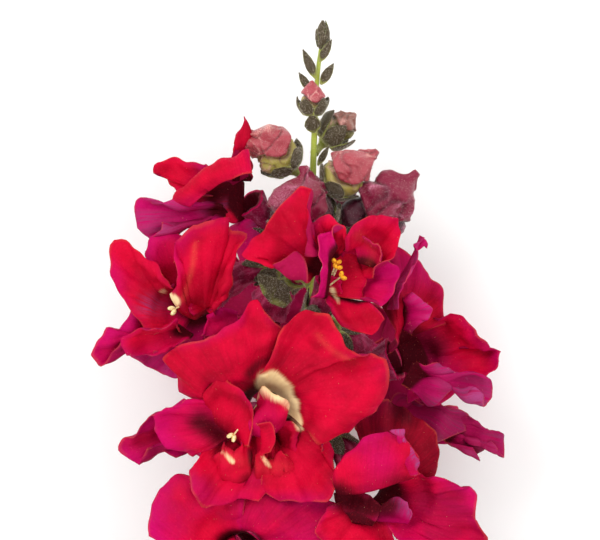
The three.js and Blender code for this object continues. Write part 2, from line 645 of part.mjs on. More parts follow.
function corollaSolid(bloom, grow) {
  const lobes = bloom.lobes.map((lobe) => lobeSolid(bloom, lobe, grow));
  return lobes.reduce((whole, lobe) => whole.add(lobe), tubeSolid(bloom, grow));
}

// ---------------------------------------------------------------- calyces and buds

// A cup of five pointed sepals round the foot of a tube, with its short stalk to the stem.
function calyxSolid(curve, radiusAt, cupEnd, grow) {
  const foot = curve.getPointAt(0);
  const heading = curve.getTangentAt(0);
  const shell = (t, extra) => ({ t, r: radiusAt(t) + GAP + extra });
  const point = { sway: cupEnd * SEPAL_POINT };
  const outer = [shell(0, CALYX_WALL + grow), { ...shell(cupEnd, CALYX_WALL * 0.8 + grow), ...point }];
  const inner = [{ ...shell(cupEnd, -grow * 0.8), ...point }, shell(0, -grow * 0.8)];
  const rings = ringsAlong(curve, [...outer, ...inner], CALYX_SIDES);
  const under = foot.clone().addScaledVector(heading, -(GAP + CALYX_WALL + grow));
  const floor = foot.clone().addScaledVector(heading, -(GAP - Math.min(grow, GAP * 0.5)));
  const cup = skin(under, rings, floor);
  const top = foot.clone().addScaledVector(heading, -(GAP + CALYX_WALL * 0.5));
  return cup.add(pedicelSolid(top, heading, grow));
}

function pedicelSolid(top, heading, grow) {
  const root = stemAt(top.y - top.distanceTo(stemAt(top.y).point) * PEDICEL_SLANT);
  const away = top.clone().sub(root.point).normalize();
  const start = root.point.clone().addScaledVector(away, root.radius * 0.6);
  const curve = new THREE.CubicBezierCurve3(
    start,
    start.clone().lerp(top, 0.4),
    top.clone().addScaledVector(heading, -1),
    top,
  );
  const last = PEDICEL_SHARES.length - 1;
  const stations = PEDICEL_SHARES.map((share, i) => ({ t: i / last, r: PEDICEL_RADIUS * share + grow }));
  return tube(curve, stations, PEDICEL_SIDES);
}

function budCurve(bud) {
  const foot = vec(bud.foot);
  const tip = vec(bud.tip);
  const sag = foot.distanceTo(tip) * BUD_SAG;
  const middle = foot.clone().lerp(tip, 0.5).add(new THREE.Vector3(0, 0, sag));
  return new THREE.CatmullRomCurve3([foot, middle, tip]);
}

// Round and fat at a third of its length, narrower towards the closed tip.
function budRadius(bud, t) {
  const swell = Math.pow(Math.sin(Math.PI * Math.pow(lerp(0.06, 0.97, t), 0.8)), 0.7);
  return (bud.across / 2) * swell;
}

function budSolid(bud, grow) {
  const curve = budCurve(bud);
  const stations = BUD_STATIONS.map((t) => ({ t, r: budRadius(bud, t) + grow }));
  return tube(curve, stations, CALYX_SIDES);
}

function bladeSolid(foot, tip, width, wall, bow, grow) {
  const along = foot.clone().sub(tip);
  const side = new THREE.Vector3(0, 0, 1).cross(along).normalize();
  const grid = BLADE_STATIONS.map((t, k) => {
    const centre = foot.clone().lerp(tip, t);
    centre.z += bow * 4 * t * (1 - t);
    const half = (width / 2) * BLADE_SHARES[k];
    return [-1, 0, 1].map((s) => {
      const point = centre.clone().addScaledVector(side, s * half);
      point.z += Math.abs(s) * half * BLADE_FOLD;
      return point;
    });
  });
  return thicken(grid, wall, grow);
}

// ---------------------------------------------------------------- assembly

// Pieces are made from the stem outwards.  Each later piece gives way to the earlier ones, with a
// gap, as soft petals do where they press on each other.
const finished = [];
const snapdragon = new THREE.Group();

function largest(solid) {
  const bodies = solid.decompose().filter((body) => body.volume() > 0);
  return bodies.sort((a, b) => b.volume() - a.volume())[0];
}

function near(a, b) {
  const [p, q] = [a.boundingBox(), b.boundingBox()];
  return [0, 1, 2].every((k) => p.min[k] <= q.max[k] && q.min[k] <= p.max[k]);
}

function addPiece(name, look, make) {
  let solid = make(0);
  for (const other of finished) {
    if (near(solid, other)) {
      solid = solid.subtract(other);
    }
  }
  solid = largest(largest(solid).asOriginal().simplify(SMOOTHING));
  finished.push(make(GAP));
  const mesh = new THREE.Mesh(toGeometry(solid), look);
  mesh.name = name;
  snapdragon.add(mesh);
}

const blooms = [
  ...BLOOMS,
  ...PATTERN_BLOOMS.map((bloom) => {
    const sized = { ...bloom, mouth: PATTERN_MOUTH };
    return { ...sized, lobes: patternLobes(sized) };
  }),
];

addPiece('stem', STEM_GREEN, stemSolid);
blooms.forEach((bloom) => {
  const curve = tubeCurve(bloom);
  addPiece(`${bloom.name}_calyx`, CALYX_GREEN,
    (grow) => calyxSolid(curve, (t) => tubeRadius(bloom, t), CUP_END, grow));
});
BUDS.forEach((bud) => {
  const curve = budCurve(bud);
  addPiece(`${bud.name}_calyx`, CALYX_GREEN,
    (grow) => calyxSolid(curve, (t) => budRadius(bud, t), BUD_CUP_END, grow));
});
blooms.forEach((bloom) => {
  addPiece(`${bloom.name}_corolla`, RED_PETAL, (grow) => corollaSolid(bloom, grow));
});
BUDS.forEach((bud) => {
  addPiece(`${bud.name}_corolla`, bud.look, (grow) => budSolid(bud, grow));
});
BRACTS.forEach(({ name, foot, tip, width }) => {
  addPiece(name, LEAF_GREEN,
    (grow) => bladeSolid(vec(foot), vec(tip), width, BRACT_THICKNESS, BRACT_BOW, grow));
});
LEAVES.forEach(({ name, y, reach, width }) => {
  const root = stemAt(y);
  const foot = root.point.clone().addScaledVector(vec(reach).normalize(), root.radius * 0.5);
  const tip = root.point.clone().add(vec(reach));
  addPiece(name, LEAF_GREEN, (grow) => bladeSolid(foot, tip, width, LEAF_THICKNESS, LEAF_BOW, grow));
});

const tipBud = new THREE.CatmullRomCurve3([
  vec([1.7, TIP_Y - 1.4, 0]),
  vec([2, TIP_Y + 1.5, 0]),
  vec([2, TIP_Y + 4.6, 0]),
]);
addPiece('tip_bud', CALYX_GREEN, (grow) => {
  const radius = (t) => TIP_BUD_RADIUS * Math.sin(Math.PI * lerp(0.12, 0.93, t)) + grow;
  return tube(tipBud, TIP_BUD_STATIONS.map((t) => ({ t, r: radius(t) })), TIP_BUD_SIDES);
});

// The origin goes on the table, in the middle of the footprint.
const bounds = new THREE.Box3().setFromObject(snapdragon);
const middle = bounds.getCenter(new THREE.Vector3());
snapdragon.position.set(-middle.x, -middle.y, -bounds.min.z);

export default snapdragon;
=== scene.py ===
"""A cut stem of a double open-faced snapdragon, laid on a pale table with its best side up.

The tables below are in millimetres, about the axis of the flowering part: +X right, +Y towards the
tip of the spike, +Z up.  The stem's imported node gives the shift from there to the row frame.
"""

import logging
import math
from dataclasses import dataclass, field
from enum import Enum
from typing import Callable, Optional, Sequence, Union

import bpy
import numpy as np
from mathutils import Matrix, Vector


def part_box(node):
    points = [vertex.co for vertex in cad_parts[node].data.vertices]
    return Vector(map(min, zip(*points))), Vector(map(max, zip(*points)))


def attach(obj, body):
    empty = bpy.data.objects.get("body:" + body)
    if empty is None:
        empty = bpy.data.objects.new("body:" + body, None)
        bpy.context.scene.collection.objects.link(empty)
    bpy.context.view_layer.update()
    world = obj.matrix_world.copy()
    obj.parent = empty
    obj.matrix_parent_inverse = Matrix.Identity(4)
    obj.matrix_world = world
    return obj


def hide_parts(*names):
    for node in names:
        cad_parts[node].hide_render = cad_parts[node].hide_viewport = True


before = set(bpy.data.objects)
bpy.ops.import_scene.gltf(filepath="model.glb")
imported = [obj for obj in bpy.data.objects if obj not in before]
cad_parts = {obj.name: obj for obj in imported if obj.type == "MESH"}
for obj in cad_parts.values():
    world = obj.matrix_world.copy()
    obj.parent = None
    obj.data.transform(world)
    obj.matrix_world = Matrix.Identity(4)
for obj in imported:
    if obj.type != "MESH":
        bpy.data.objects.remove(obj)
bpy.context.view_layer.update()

MM = 0.001
BODY = "root"
SPIKE_HEIGHT = 26.0          # from the table up to the axis of the flowering part
CUT_Y = -235.0               # where the stem was cut
TIP_Y = 46.0                 # where the stem ends inside the tip bud
STEM_RADIUS_CUT = 2.3
STEM_RADIUS_TIP = 0.4
TUBE_FOOT_RADIUS = 2.0
PEDICEL_RADIUS = 0.8
PETAL_WALL = 0.42            # a fresh petal, edge to edge
STEM_LOW = (-2.29, -235.15, -26.0)  # the drawn stem's lowest corner
VIEW_CENTRE = (-2.6, 0.0)    # what the camera looks down on
VIEW_WIDTH = 120.0
VIEW_LEVEL = 12.0            # height of the topmost petals, where the view is VIEW_WIDTH wide
VIEW_DISTANCE = 900.0
TUBE_END = 0.7               # share of a bloom's line at which its tube turns in under the lobes
THROAT_FLOOR = 0.3           # share of it at which the throat ends
CALYX_LENGTH = 6.5           # sepals of an open bloom
SEPALS = 5
TIP_SCALES = 9
UP = np.array((0.0, 0.0, 1.0))
TABLE = -SPIKE_HEIGHT

log = logging.getLogger("snapdragon")

Point = tuple[float, float, float]
Setting = Union[int, float, str, bool, tuple, object]
Tree = bpy.types.NodeTree
Socket = bpy.types.NodeSocket
Pattern = tuple[Socket, Socket, float]


# ------------------------------------------------------------------------------ colour and nodes

def linear(hex_code: str) -> tuple[float, float, float, float]:
    """Turn an sRGB hex colour to linear RGBA.

    Args:
        hex_code: six hex digits.

    Returns:
        The colour as Blender's shaders take it.
    """
    channels = [int(hex_code[i:i + 2], 16) / 255 for i in (0, 2, 4)]
    straight = [c / 12.92 if c <= 0.04045 else ((c + 0.055) / 1.055) ** 2.4 for c in channels]
    return (*straight, 1.0)


def add_node(tree: Tree, kind: str, settings: Optional[dict[str, Setting]] = None,
             inputs: Optional[dict[Union[str, int], Setting]] = None) -> bpy.types.Node:
    """Add a node, set its properties, and fill or link its inputs.

    Args:
        tree: the tree to add to.
        kind: Blender's name of the node type.
        settings: properties of the node.
        inputs: input sockets by name or number; an output socket as value makes a link.

    Returns:
        The new node.
    """
    node = tree.nodes.new(kind)
    for name, value in (settings or {}).items():
        setattr(node, name, value)
    for key, value in (inputs or {}).items():
        if isinstance(value, bpy.types.NodeSocket):
            tree.links.new(value, node.inputs[key])
        else:
            node.inputs[key].default_value = value
    return node


def mix(tree: Tree, factor: Setting, first: Union[str, Socket], second: Union[str, Socket]) -> Socket:
    """Mix two colours.

    Args:
        tree: the tree to add to.
        factor: share of the second colour, a number or a socket.
        first: sRGB hex colour or socket.
        second: sRGB hex colour or socket.

    Returns:
        The mixed colour's socket.
    """
    first, second = (linear(colour) if isinstance(colour, str) else colour for colour in (first, second))
    node = add_node(tree, "ShaderNodeMix", {"data_type": "RGBA"}, {0: factor, 6: first, 7: second})
    return node.outputs[2]


def ramp(tree: Tree, value: Socket, low: float, high: float) -> Socket:
    """Map a value between two limits smoothly to 0 to 1, held beyond them.

    Args:
        tree: the tree to add to.
        value: the socket to map.
        low: value that gives 0.
        high: value that gives 1.

    Returns:
        The mapped value's socket.
    """
    node = add_node(tree, "ShaderNodeMapRange", {"interpolation_type": "SMOOTHSTEP"},
                    {0: value, 1: low, 2: high, 3: 0.0, 4: 1.0})
    return node.outputs[0]


def reckon(tree: Tree, operation: str, *values: Setting, clamp: bool = False) -> Socket:
    """Do arithmetic on values.

    Args:
        tree: the tree to add to.
        operation: Blender's name of it, such as "MULTIPLY_ADD".
        values: numbers or sockets, in the node's order.
        clamp: whether the result is held between 0 and 1.

    Returns:
        The result's socket.
    """
    settings = {"operation": operation, "use_clamp": clamp}
    return add_node(tree, "ShaderNodeMath", settings, dict(enumerate(values))).outputs[0]


def scaled(tree: Tree, value: Socket, share: float) -> Socket:
    """Multiply a value by a constant share and return its socket."""
    return reckon(tree, "MULTIPLY", value, share)


def attribute(tree: Tree, name: str) -> Socket:
    """Read one of the mesh's own values, such as how far a point is from the throat."""
    return add_node(tree, "ShaderNodeAttribute", {"attribute_name": name}).outputs["Fac"]


def noise(tree: Tree, size_mm: float, detail: float = 4.0, rough: float = 0.55) -> Socket:
    """A noise pattern on Object coordinates.

    Args:
        tree: the tree to add to.
        size_mm: size of its largest blotches.
        detail: octaves.
        rough: share that the finer octaves keep.

    Returns:
        The noise value's socket, about 0.5 on average.
    """
    place = add_node(tree, "ShaderNodeTexCoord").outputs["Object"]
    node = add_node(tree, "ShaderNodeTexNoise", {},
                    {"Vector": place, "Scale": 1000.0 / size_mm, "Detail": detail, "Roughness": rough})
    return node.outputs[0]


def stretched_noise(tree: Tree, scale: tuple[float, float, float], detail: float, rough: float = 0.5,
                    distortion: float = 0.0) -> Socket:
    """A noise pattern on the piece's own UV, drawn out along it.

    Args:
        tree: the tree to add to.
        scale: repeats across and along the piece.
        detail: octaves.
        rough: share that the finer octaves keep.
        distortion: how far the pattern is bent.

    Returns:
        The noise value's socket.
    """
    uv = add_node(tree, "ShaderNodeUVMap", {"uv_map": "petal"}).outputs[0]
    place = add_node(tree, "ShaderNodeMapping", {}, {"Vector": uv, "Scale": scale}).outputs[0]
    node = add_node(tree, "ShaderNodeTexNoise", {"noise_dimensions": "2D"},
                    {"Vector": place, "Scale": 1.0, "Detail": detail, "Roughness": rough,
                     "Distortion": distortion})
    return node.outputs[0]


# ------------------------------------------------------------------------------ finishes

@dataclass(frozen=True)
class Finish:
    """A material that is named for the real tissue and its surface."""

    name: str
    roughness: float = 0.6
    specular: float = 0.35
    sheen: float = 0.0
    sheen_tint: str = "ffffff"

    def build(self) -> bpy.types.Material:
        """Make the material.

        Returns:
            The finished material.
        """
        material = bpy.data.materials.new(self.name)
        material.use_nodes = True
        tree = material.node_tree
        shader = tree.nodes["Principled BSDF"]
        shader.inputs["Roughness"].default_value = self.roughness
        shader.inputs["Specular IOR Level"].default_value = self.specular
        shader.inputs["Sheen Weight"].default_value = self.sheen
        shader.inputs["Sheen Roughness"].default_value = 0.4
        shader.inputs["Sheen Tint"].default_value = linear(self.sheen_tint)
        colour, height, depth_mm = self.pattern(tree)
        tree.links.new(colour, shader.inputs["Base Color"])
        bump = add_node(tree, "ShaderNodeBump", {},
                        {"Strength": 0.8, "Distance": depth_mm * MM, "Height": height})
        tree.links.new(bump.outputs[0], shader.inputs["Normal"])
        return material

    def pattern(self, tree: Tree) -> Pattern:
        """Make the colour and relief of the surface.

        Args:
            tree: the material's node tree.

        Returns:
            The colour's socket, the relief's socket, and the relief's depth in millimetres.
        """
        raise NotImplementedError


@dataclass(frozen=True)
class PetalFinish(Finish):
    """Velvet petal skin: cone-shaped cells a few hundredths of a millimetre across, which scatter
    light softly and enrich the colour; fine veins fan out from the throat."""

    face: str = "cc002f"
    rim: str = "bc005c"
    # maroon of the painted shade in the throat, folds and gaps
    deep: str = "46000f"
    shade: str = "900019"
    glint: str = "ff4a62"
    pale: str = "ffe4ae"
    under: str = "980a44"
    lilac: str = "a2447c"
    edge: str = "d8553f"

    def pattern(self, tree: Tree) -> Pattern:
        """Red face, magenta towards the rim, a maroon painted shade in the throat, folds and gaps, cream
        where the bloom says so.
        """
        blotch = noise(tree, 7.0, 3.0)
        grain = noise(tree, 0.45, 3.0, 0.7)
        vein_noise = stretched_noise(tree, (58.0, 2.0, 1.0), 3.0, 0.55, 0.35)
        veins = ramp(tree, vein_noise, 0.38, 0.62)
        colour = mix(tree, ramp(tree, blotch, 0.35, 0.7), self.face, self.shade)
        colour = mix(tree, 0.65, self.face, colour)
        blush = reckon(tree, "MULTIPLY_ADD", blotch, 0.5, -0.25, clamp=True)
        blush = reckon(tree, "ADD", attribute(tree, "pink"), blush, clamp=True)
        colour = mix(tree, ramp(tree, blush, 0.15, 0.95), colour, self.rim)
        colour = mix(tree, scaled(tree, attribute(tree, "under"), 0.85), colour, self.under)
        lilac = reckon(tree, "MULTIPLY", attribute(tree, "lilac"), ramp(tree, vein_noise, 0.3, 0.6))
        colour = mix(tree, lilac, colour, self.lilac)
        colour = mix(tree, scaled(tree, veins, 0.1), colour, self.shade)
        # painted shade: the mesh's value darkens the throat, folds and gaps towards maroon, and the vein
        # noise adds darker veins
        deep = reckon(tree, "MULTIPLY_ADD", vein_noise, 0.34, -0.17, clamp=True)
        deep = reckon(tree, "ADD", attribute(tree, "deep"), deep, clamp=True)
        colour = mix(tree, ramp(tree, deep, 0.12, 0.95), colour, self.deep)
        pale = reckon(tree, "MULTIPLY_ADD", vein_noise, 0.24, -0.1)
        pale = ramp(tree, reckon(tree, "ADD", attribute(tree, "pale"), pale), 0.3, 0.7)
        colour = mix(tree, scaled(tree, ramp(tree, grain, 0.56, 0.72), 0.1), colour, self.glint)
        colour = mix(tree, scaled(tree, ramp(tree, grain, 0.44, 0.3), 0.3), colour, self.shade)
        colour = mix(tree, pale, colour, self.pale)
        colour = mix(tree, scaled(tree, attribute(tree, "edge"), 0.5), colour, self.edge)
        return colour, reckon(tree, "MULTIPLY_ADD", vein_noise, 0.8, grain), 0.11


@dataclass(frozen=True)
class TubeFinish(Finish):
    """Outside of the corolla tube: magenta, paler in downy streaks along it."""

    body: str = "a60c48"
    streak: str = "dc6a94"
    dark: str = "6c062c"

    def pattern(self, tree: Tree) -> Pattern:
        """Lengthwise streaks, mottled by a fine grain."""
        streaks = stretched_noise(tree, (14.0, 5.0, 1.0), 4.0, 0.6)
        blotch = noise(tree, 3.5, 4.0)
        grain = noise(tree, 0.35, 2.0, 0.7)
        colour = mix(tree, ramp(tree, blotch, 0.35, 0.65), self.dark, self.body)
        colour = mix(tree, scaled(tree, ramp(tree, streaks, 0.45, 0.75), 0.4), colour, self.streak)
        # painted shade from the mesh's value, darker where it is set
        colour = mix(tree, attribute(tree, "deep"), colour, self.dark)
        colour = mix(tree, scaled(tree, ramp(tree, grain, 0.55, 0.75), 0.35), colour, self.streak)
        return colour, reckon(tree, "MULTIPLY_ADD", streaks, 1.2, grain), 0.12


@dataclass(frozen=True)
class BudFinish(Finish):
    """Skin of a closed bud: olive below, flushed rose or maroon over the hood, with a fine down."""

    base: str = "a89a4a"
    hood: str = "a63a46"
    # dark colour of the painted shade in the creases
    crease: str = "5a1620"
    # pale rose of the down's speckle, also used for the painted highlight along the ridges
    bloom: str = "e0a49a"

    def pattern(self, tree: Tree) -> Pattern:
        """The hood colour follows the mesh's own hood value; the down shows as a pale speckle; a painted
        shade darkens the creases and a painted highlight lightens the ridges.
        """
        blotch = noise(tree, 2.4, 4.0)
        grain = noise(tree, 0.28, 2.0, 0.8)
        hood = reckon(tree, "MULTIPLY_ADD", blotch, 0.7, -0.35)
        hood = reckon(tree, "ADD", attribute(tree, "hood"), hood, clamp=True)
        colour = mix(tree, ramp(tree, hood, 0.2, 0.75), self.base, self.hood)
        # painted shade in the creases, from the mesh's value
        colour = mix(tree, attribute(tree, "deep"), colour, self.crease)
        # painted highlight along the ridges, broken up by the grain
        painted_ridge_highlight = reckon(tree, "MULTIPLY", attribute(tree, "pale"), ramp(tree, grain, 0.38, 0.6))
        colour = mix(tree, painted_ridge_highlight, colour, self.bloom)
        colour = mix(tree, scaled(tree, ramp(tree, grain, 0.6, 0.78), 0.6), colour, self.bloom)
        return colour, reckon(tree, "MULTIPLY_ADD", blotch, 1.5, grain), 0.12


@dataclass(frozen=True)
class SepalFinish(Finish):
    """Sepal skin: olive brown and downy, yellow-green along its edges and at its foot."""

    body: str = "40341f"
    edge: str = "949c42"
    speckle: str = "b8ac98"

    def pattern(self, tree: Tree) -> Pattern:
        """Dark middle, green rim, and a pale speckle where the down catches the light."""
        blotch = noise(tree, 1.4, 4.0)
        grain = noise(tree, 0.22, 2.0, 0.8)
        edge = reckon(tree, "MULTIPLY_ADD", blotch, 0.6, -0.3)
        edge = reckon(tree, "ADD", attribute(tree, "green"), edge, clamp=True)
        colour = mix(tree, ramp(tree, edge, 0.3, 0.75), self.body, self.edge)
        colour = mix(tree, scaled(tree, ramp(tree, grain, 0.54, 0.72), 0.85), colour, self.speckle)
        return colour, grain, 0.1


@dataclass(frozen=True)
class StemFinish(Finish):
    """Fresh herbaceous stem: yellow-green and slightly waxy, with lengthwise ribs."""

    young: str = "b0ba3e"
    old: str = "5d7d2b"
    rib: str = "7d9a35"

    def pattern(self, tree: Tree) -> Pattern:
        """Deeper green towards the cut end, with fine ribs and a faint mottle."""
        ribs = stretched_noise(tree, (18.0, 6.0, 1.0), 3.0)
        grain = noise(tree, 0.4, 3.0)
        colour = mix(tree, attribute(tree, "age"), self.young, self.old)
        colour = mix(tree, scaled(tree, ramp(tree, ribs, 0.4, 0.65), 0.5), colour, self.rib)
        return colour, reckon(tree, "MULTIPLY_ADD", ribs, 1.5, grain), 0.12


@dataclass(frozen=True)
class LeafFinish(Finish):
    """Lance-shaped leaf: matt mid green, paler midrib and side veins, duller underneath."""

    blade: str = "3f6a26"
    vein: str = "8aa653"
    dull: str = "5f8048"

    def pattern(self, tree: Tree) -> Pattern:
        """Veins are read from the mesh, so that they follow the blade."""
        blotch = noise(tree, 4.0, 4.0)
        grain = noise(tree, 0.5, 3.0)
        colour = mix(tree, scaled(tree, ramp(tree, blotch, 0.35, 0.7), 0.35), self.blade, self.dull)
        colour = mix(tree, scaled(tree, attribute(tree, "vein"), 0.75), colour, self.vein)
        colour = mix(tree, scaled(tree, attribute(tree, "under"), 0.6), colour, self.dull)
        return colour, grain, 0.08


@dataclass(frozen=True)
class PlainTissueFinish(Finish):
    """Small pale or bright tissue, such as a filament, an anther or a hair, with a soft mottle."""

    light: str = "f2b21c"
    dark: str = "c87810"
    size_mm: float = 0.4

    def pattern(self, tree: Tree) -> Pattern:
        """Two near colours, mottled."""
        blotch = noise(tree, self.size_mm, 3.0)
        return mix(tree, ramp(tree, blotch, 0.35, 0.65), self.dark, self.light), blotch, 0.05


class Tissue(Enum):
    """The tissues that the pieces are dressed in."""

    PETAL = PetalFinish("Snapdragon petal, velvet red", roughness=0.66, specular=0.07, sheen=0.03,
                        sheen_tint="ff3050")
    TUBE = TubeFinish("Snapdragon corolla tube, downy magenta", roughness=0.6, specular=0.12, sheen=0.15,
                      sheen_tint="ff90c0")
    ROSE_BUD = BudFinish("Snapdragon bud skin, rose", roughness=0.4, specular=0.5, sheen=0.1,
                         sheen_tint="ffe0e0")
    OLIVE_BUD = BudFinish("Snapdragon bud skin, olive", roughness=0.42, specular=0.45, sheen=0.1,
                          sheen_tint="ffffe0", base="6f6c34", hood="8a5246", crease="3c2a18")
    MAROON_BUD = BudFinish("Snapdragon bud skin, maroon", roughness=0.42, specular=0.35, sheen=0.05,
                           sheen_tint="ffd0e0", base="4c0622", hood="7e0431", crease="2c0215", bloom="d684a0")
    SEPAL = SepalFinish("Snapdragon sepal, downy olive", roughness=0.75, sheen=0.3, sheen_tint="e8e8c0")
    STEM = StemFinish("Snapdragon stem, fresh green", roughness=0.42, specular=0.45)
    LEAF = LeafFinish("Snapdragon leaf, mid green", roughness=0.5, specular=0.4)
    ANTHER = PlainTissueFinish("Ripe anther, orange yellow", roughness=0.8)
    FILAMENT = PlainTissueFinish("Filament, cream", roughness=0.5, light="efdfae", dark="d9bb7e", size_mm=0.8)
    DOWN = PlainTissueFinish("Plant down, white", roughness=0.5, light="f6efe4", dark="dccdb8", size_mm=2.0)
    RIM_DOWN = PlainTissueFinish("Petal edge down, orange", roughness=0.5, light="f08050", dark="d84030",
                                 size_mm=2.0)
    PINK_DOWN = PlainTissueFinish("Tube down, pale pink", roughness=0.5, light="eca8c4", dark="cc6c98",
                                  size_mm=2.0)
    YOUNG_ANTHER = PlainTissueFinish("Anther, cream", roughness=0.55, light="f6e6b4", dark="d8b66c")
    POLLEN = PlainTissueFinish("Pollen grains, cream orange", roughness=0.7, light="ffd9a0", dark="f09060",
                               size_mm=2.0)

    def material(self) -> bpy.types.Material:
        """Make the material on first use, and return it."""
        return bpy.data.materials.get(self.value.name) or self.value.build()


# ------------------------------------------------------------------------------ lines and skins

def array(points: Sequence[Sequence[float]]) -> np.ndarray:
    """Points as an array of floats."""
    return np.asarray(points, dtype=float)


def unit(v: np.ndarray) -> np.ndarray:
    """Vectors scaled to length one."""
    return v / np.maximum(np.linalg.norm(v, axis=-1, keepdims=True), 1e-9)


def ease(x: np.ndarray, low: float, high: float) -> np.ndarray:
    """Rise smoothly from 0 at low to 1 at high."""
    t = np.clip((x - low) / (high - low), 0.0, 1.0)
    return t * t * (3 - 2 * t)


def wobble(points: np.ndarray, size: float, seed: int) -> np.ndarray:
    """Smooth random relief in space.

    Args:
        points: where, in millimetres.
        size: how wide its humps are.
        seed: which relief.

    Returns:
        A height for each point, mostly between -1 and 1.
    """
    rng = np.random.default_rng(seed)
    waves = 9
    ways = unit(rng.normal(size=(waves, 3))) * (math.pi / size) * rng.uniform(0.6, 1.5, (waves, 1))
    phases = rng.uniform(0, 2 * math.pi, waves)
    return np.sin(points @ ways.T + phases).sum(axis=-1) / math.sqrt(waves)


def even(points: np.ndarray, count: int) -> np.ndarray:
    """Space points evenly along a fine line."""
    steps = np.linalg.norm(np.diff(points, axis=0), axis=1)
    run = np.concatenate([[0.0], np.cumsum(steps)])
    at = np.linspace(0, run[-1], count)
    return np.stack([np.interp(at, run, points[:, k]) for k in range(3)], axis=1)


def through(points: Sequence[Point], count: int) -> np.ndarray:
    """Draw a smooth line through points.

    Args:
        points: two or more.
        count: how many even points to give back.

    Returns:
        The line's points.
    """
    p = array(points)
    if len(p) == 2:
        return p[0] + (p[1] - p[0]) * np.linspace(0, 1, count)[:, None]
    p = np.vstack([2 * p[0] - p[1], p, 2 * p[-1] - p[-2]])
    knots = np.concatenate([[0.0], np.cumsum(np.sqrt(np.linalg.norm(np.diff(p, axis=0), axis=1)))])
    pieces = []
    for i in range(1, len(p) - 2):
        t = np.linspace(knots[i], knots[i + 1], 24, endpoint=False)[:, None]
        k0, k1, k2, k3 = knots[i - 1:i + 3]
        a1 = ((k1 - t) * p[i - 1] + (t - k0) * p[i]) / (k1 - k0)
        a2 = ((k2 - t) * p[i] + (t - k1) * p[i + 1]) / (k2 - k1)
        a3 = ((k3 - t) * p[i + 1] + (t - k2) * p[i + 2]) / (k3 - k2)
        b1 = ((k2 - t) * a1 + (t - k0) * a2) / (k2 - k0)
        b2 = ((k3 - t) * a2 + (t - k1) * a3) / (k3 - k1)
        pieces.append(((k2 - t) * b1 + (t - k1) * b2) / (k2 - k1))
    return even(np.vstack([*pieces, p[-2:-1]]), count)


def bezier(handles: Sequence[np.ndarray], t: np.ndarray) -> np.ndarray:
    """Points of a Bezier curve of any degree at t."""
    degree = len(handles) - 1
    weights = [math.comb(degree, k) * (1 - t) ** (degree - k) * t ** k for k in range(degree + 1)]
    return sum(w[..., None] * h for w, h in zip(weights, handles))


class Path:
    """A smooth line in space with a frame that doesn't spin along it."""

    STEPS = 160

    def __init__(self, points: np.ndarray) -> None:
        """Keep the line evenly spaced and carry a side direction along it."""
        self.points = even(points, self.STEPS + 1)
        self.tangents = unit(np.gradient(self.points, axis=0))
        side = np.cross(self.tangents[0], [0.0, 0.0, 1.0])
        if np.linalg.norm(side) < 0.2:
            side = np.cross(self.tangents[0], [0.0, 1.0, 0.0])
        sides = []
        for tangent in self.tangents:
            side = unit(side - tangent * np.dot(side, tangent))
            sides.append(side)
        self.sides = np.array(sides)
        self.ups = np.cross(self.tangents, self.sides)
        self.length = float(np.linalg.norm(np.diff(self.points, axis=0), axis=1).sum())

    def _at(self, table: np.ndarray, t: np.ndarray) -> np.ndarray:
        """Read a table of the line at shares of its length."""
        at = np.clip(np.asarray(t, float), 0, 1) * self.STEPS
        low = np.minimum(at.astype(int), self.STEPS - 1)
        share = (at - low)[..., None]
        return table[low] * (1 - share) + table[low + 1] * share

    def point(self, t: Union[float, np.ndarray]) -> np.ndarray:
        """The line's point at a share of its length."""
        return self._at(self.points, np.asarray(t))

    def heading(self, t: Union[float, np.ndarray]) -> np.ndarray:
        """The line's direction at a share of its length."""
        return unit(self._at(self.tangents, np.asarray(t)))

    def around(self, t: np.ndarray, angle: np.ndarray, radius: np.ndarray) -> np.ndarray:
        """Points about the line.

        Args:
            t: share of its length.
            angle: turn about it, in radians.
            radius: distance from it.

        Returns:
            The points.
        """
        side = self._at(self.sides, t)
        up = self._at(self.ups, t)
        out = np.cos(angle)[..., None] * side + np.sin(angle)[..., None] * up
        return self.point(t) + out * np.asarray(radius)[..., None]


VALUES = ("pink", "deep", "pale", "under", "lilac", "hood", "green", "age", "vein", "fuzz", "dust",
          "edge")


def linked(name: str, data: bpy.types.ID) -> bpy.types.Object:
    """Make an object of a mesh, light or camera, and put it in the scene."""
    made = bpy.data.objects.new(name, data)
    bpy.context.scene.collection.objects.link(made)
    return made


